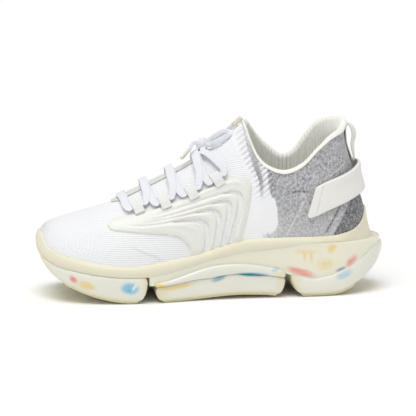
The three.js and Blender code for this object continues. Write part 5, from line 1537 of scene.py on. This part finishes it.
# ---------------------------------------------------------------- heel strap
STRAP_TOP = profile([[79, 89.5], [87, 93.4], [97, 98], [109, 102.2], [120, 106], [128, 109.5],
                     [136, 111.5]])
STRAP_LOW = profile([[79, 66.8], [87, 68.2], [101, 74.4], [113, 79.4], [124, 84], [133, 88], [140, 90]])
STRAP_END, STRAP_SLANT, STRAP_DEPTH = 79.8, 7.0, 2.2
STRAP_CORNER, STRAP_ROUND = 3.0, 1.6   # radius of its end corners, and of its edges
STRAP_BAR = 8.5                        # from its end to the pressed bar


def make_strap():
    """A moulded strap from the lateral tab round the heel to the medial tab: rounded edges and end
    corners, a bar pressed across each tab, and a flare away from the heel at its top edge."""
    v = np.linspace(0, 1, 33)[None, :]
    start = section_at(STRAP_END + STRAP_SLANT * v)
    u = start + (CAP + 1 - start) * np.linspace(0, 1, 110)[:, None] ** 0.85
    halves = []
    for side in SIDES:
        middle = surface(u, height_at(u, 90, side), side)
        x = middle[..., 0]
        f = (x - STRAP_END) / (heel_line(95) - STRAP_END)
        stand = 0.7 + 3.2 * np.clip((f - 0.42) / 0.5, 0, 1) ** 1.3
        from_end = arc_along(middle, 0)
        into_corner = np.maximum(STRAP_CORNER - from_end, 0)
        cut = STRAP_CORNER - np.sqrt(np.maximum(STRAP_CORNER ** 2 - into_corner ** 2, 0))
        top, low = STRAP_TOP(x) - cut, STRAP_LOW(x) + cut
        z = low + (top - low) * v
        t = height_at(u, z, side)
        near_edge = np.minimum(np.minimum(v, 1 - v) * (top - low), from_end)
        swell = STRAP_DEPTH * np.sqrt(1 - (1 - np.clip(near_edge / STRAP_ROUND, 0, 1)) ** 2)
        bar_gap = from_end - STRAP_BAR
        bar = 0.4 * np.exp(-((bar_gap + 2.4) / 1.3) ** 2) - 0.9 * np.exp(-(bar_gap / 0.8) ** 2)
        swell = swell + bar * smooth(near_edge, 2, 3.5)
        flare = 2.0 * smooth(v, 0.5, 1) * np.clip((f - 0.3) / 0.4, 0, 1)
        off = stand + flare
        base, out = surface(u, t, side), normal(u, t, side)
        halves.append((base + out * off[..., None], base + out * (off + swell)[..., None]))
    inner = np.vstack([halves[0][0], halves[1][0][::-1][1:]])
    outer = np.vstack([halves[0][1], halves[1][1][::-1][1:]])
    ring_grid = np.concatenate([outer, inner[:, ::-1]], 1)
    closing = np.stack([0.5 * (ring_grid[i] + ring_grid[i][::-1]) for i in (0, -1)])
    ring_grid = np.concatenate([closing[:1], ring_grid, closing[1:]])
    obj = outward(merge(grid_object("heel_strap_band", [(ring_grid, (False, True), False)])))
    return placed(obj, REAR, "cage_shell", "heel_strap", material=STRAP_SHELL)


# ---------------------------------------------------------------- heel pull loop
PULL_TOP, PULL_FOOT, PULL_WIDTH, PULL_TWIST = 143.0, 113.5, 9.0, math.radians(32)


def make_pull():
    """Two strands of webbing: one sewn down the heel, and one that stands out behind it."""
    z = np.linspace(PULL_FOOT - 1.5, PULL_TOP + 1.5, 40)
    sewn = np.stack([heel_line(z) + 1.3 + 0.3 * np.sin((z - z[0]) / 3), 0 * z, z], 1)
    grid, uv = tape(sewn, np.broadcast_to([1.0, 0, 0], sewn.shape), PULL_WIDTH, 1.2, 20, squareness=0.4)
    obj = outward(merge(grid_object("pull_sewn_strip", [grid], [uv])))
    placed(obj, REAR, "webbing", "pull_anchor", material=PULL_TAPE)
    rows = [(PULL_TOP + 0.6, 2.4), (PULL_TOP, 4.3), (PULL_TOP - 3, 7.9), (PULL_TOP - 9, 9.4),
            (PULL_FOOT + 12, 6.4), (PULL_FOOT, 4.3), (PULL_FOOT - 1.2, 2.4)]
    line = sampled([[heel_line(h) + away, h] for h, away in rows], 10)
    points = np.stack([line[:, 0], 0 * line[:, 0], line[:, 1]], 1)
    d = unit(np.gradient(points, axis=0))
    turn = (PULL_TWIST * np.sin(np.linspace(0, np.pi, len(d))) ** 1.5)[:, None]
    outs = np.cross(d, [0, 1.0, 0]) * np.cos(turn) + np.array([0, -1.0, 0]) * np.sin(turn)
    grid, uv = tape(points, outs, PULL_WIDTH, 1.8, 20, squareness=0.4)
    obj = outward(merge(grid_object("pull_free_strip", [grid], [uv])))
    placed(obj, LOOP_BODY, "webbing", "pull_loop", material=PULL_TAPE)


make_strap()
make_pull()

# ---------------------------------------------------------------- inner parts keep their solids
def dress(node, material):
    """Gives a carried-over solid its material."""
    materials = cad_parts[node].data.materials
    materials.clear()
    materials.append(material)


for node in ("midfoot_foam", "forefoot_foam", "heel_foam", "heel_cushion"):
    dress(node, CORE_FOAM)
for node in ("strobel_front", "strobel_rear"):
    dress(node, BOARD)
for node in FORE_CHIPS + MID_CHIPS + HEEL_CHIPS:
    dress(node, CHIP_FOAMS[node.split("_")[-1]])


# ---------------------------------------------------------------- stage
FLOOR_REACH, FLOOR_DROP = 9000, 0.0002


def make_stage():
    """A pale floor, an even white surround and one broad soft light from above, behind and ahead."""
    corners = np.array([[-1, -1, 0], [1, -1, 0], [1, 1, 0], [-1, 1, 0]]) * FLOOR_REACH
    floor = mesh_object("floor", corners / SCALE, [[0, 1, 2, 3]])
    floor.location.z = -FLOOR_DROP
    paper = Finish("paper", srgb(252, 252, 252), 0.9)
    floor.data.materials.append(paper.material)
    world = bpy.data.worlds.new("studio")
    world.use_nodes = True
    background = world.node_tree.nodes["Background"]
    background.inputs["Color"].default_value = (1, 1, 1, 1)
    background.inputs["Strength"].default_value = 0.5
    bpy.context.scene.world = world
    sun_data = bpy.data.lights.new("softbox", "SUN")
    sun_data.energy, sun_data.angle = 1.85, math.radians(42)
    sun = bpy.data.objects.new("softbox", sun_data)
    sun.rotation_euler = Vector((-0.14, -0.26, 1)).to_track_quat("Z", "Y").to_euler()
    bpy.context.scene.collection.objects.link(sun)
    bpy.context.scene.view_settings.view_transform = "Standard"


def make_camera():
    """A long lens level with the shoe's side, a little ahead of square and slightly above."""
    azimuth, elevation, distance = math.radians(-8), math.radians(9.5), 1.5
    target = Vector((-0.002, 0, 0.072))
    back = Vector((math.sin(azimuth) * math.cos(elevation), -math.cos(azimuth) * math.cos(elevation),
                   math.sin(elevation)))
    data = bpy.data.cameras.new("camera")
    data.lens, data.sensor_width = 149.5, 36
    camera = bpy.data.objects.new("camera", data)
    camera.location = target + back * distance
    camera.rotation_euler = back.to_track_quat("Z", "Y").to_euler()
    bpy.context.scene.collection.objects.link(camera)
    bpy.context.scene.camera = camera


make_stage()
make_camera()
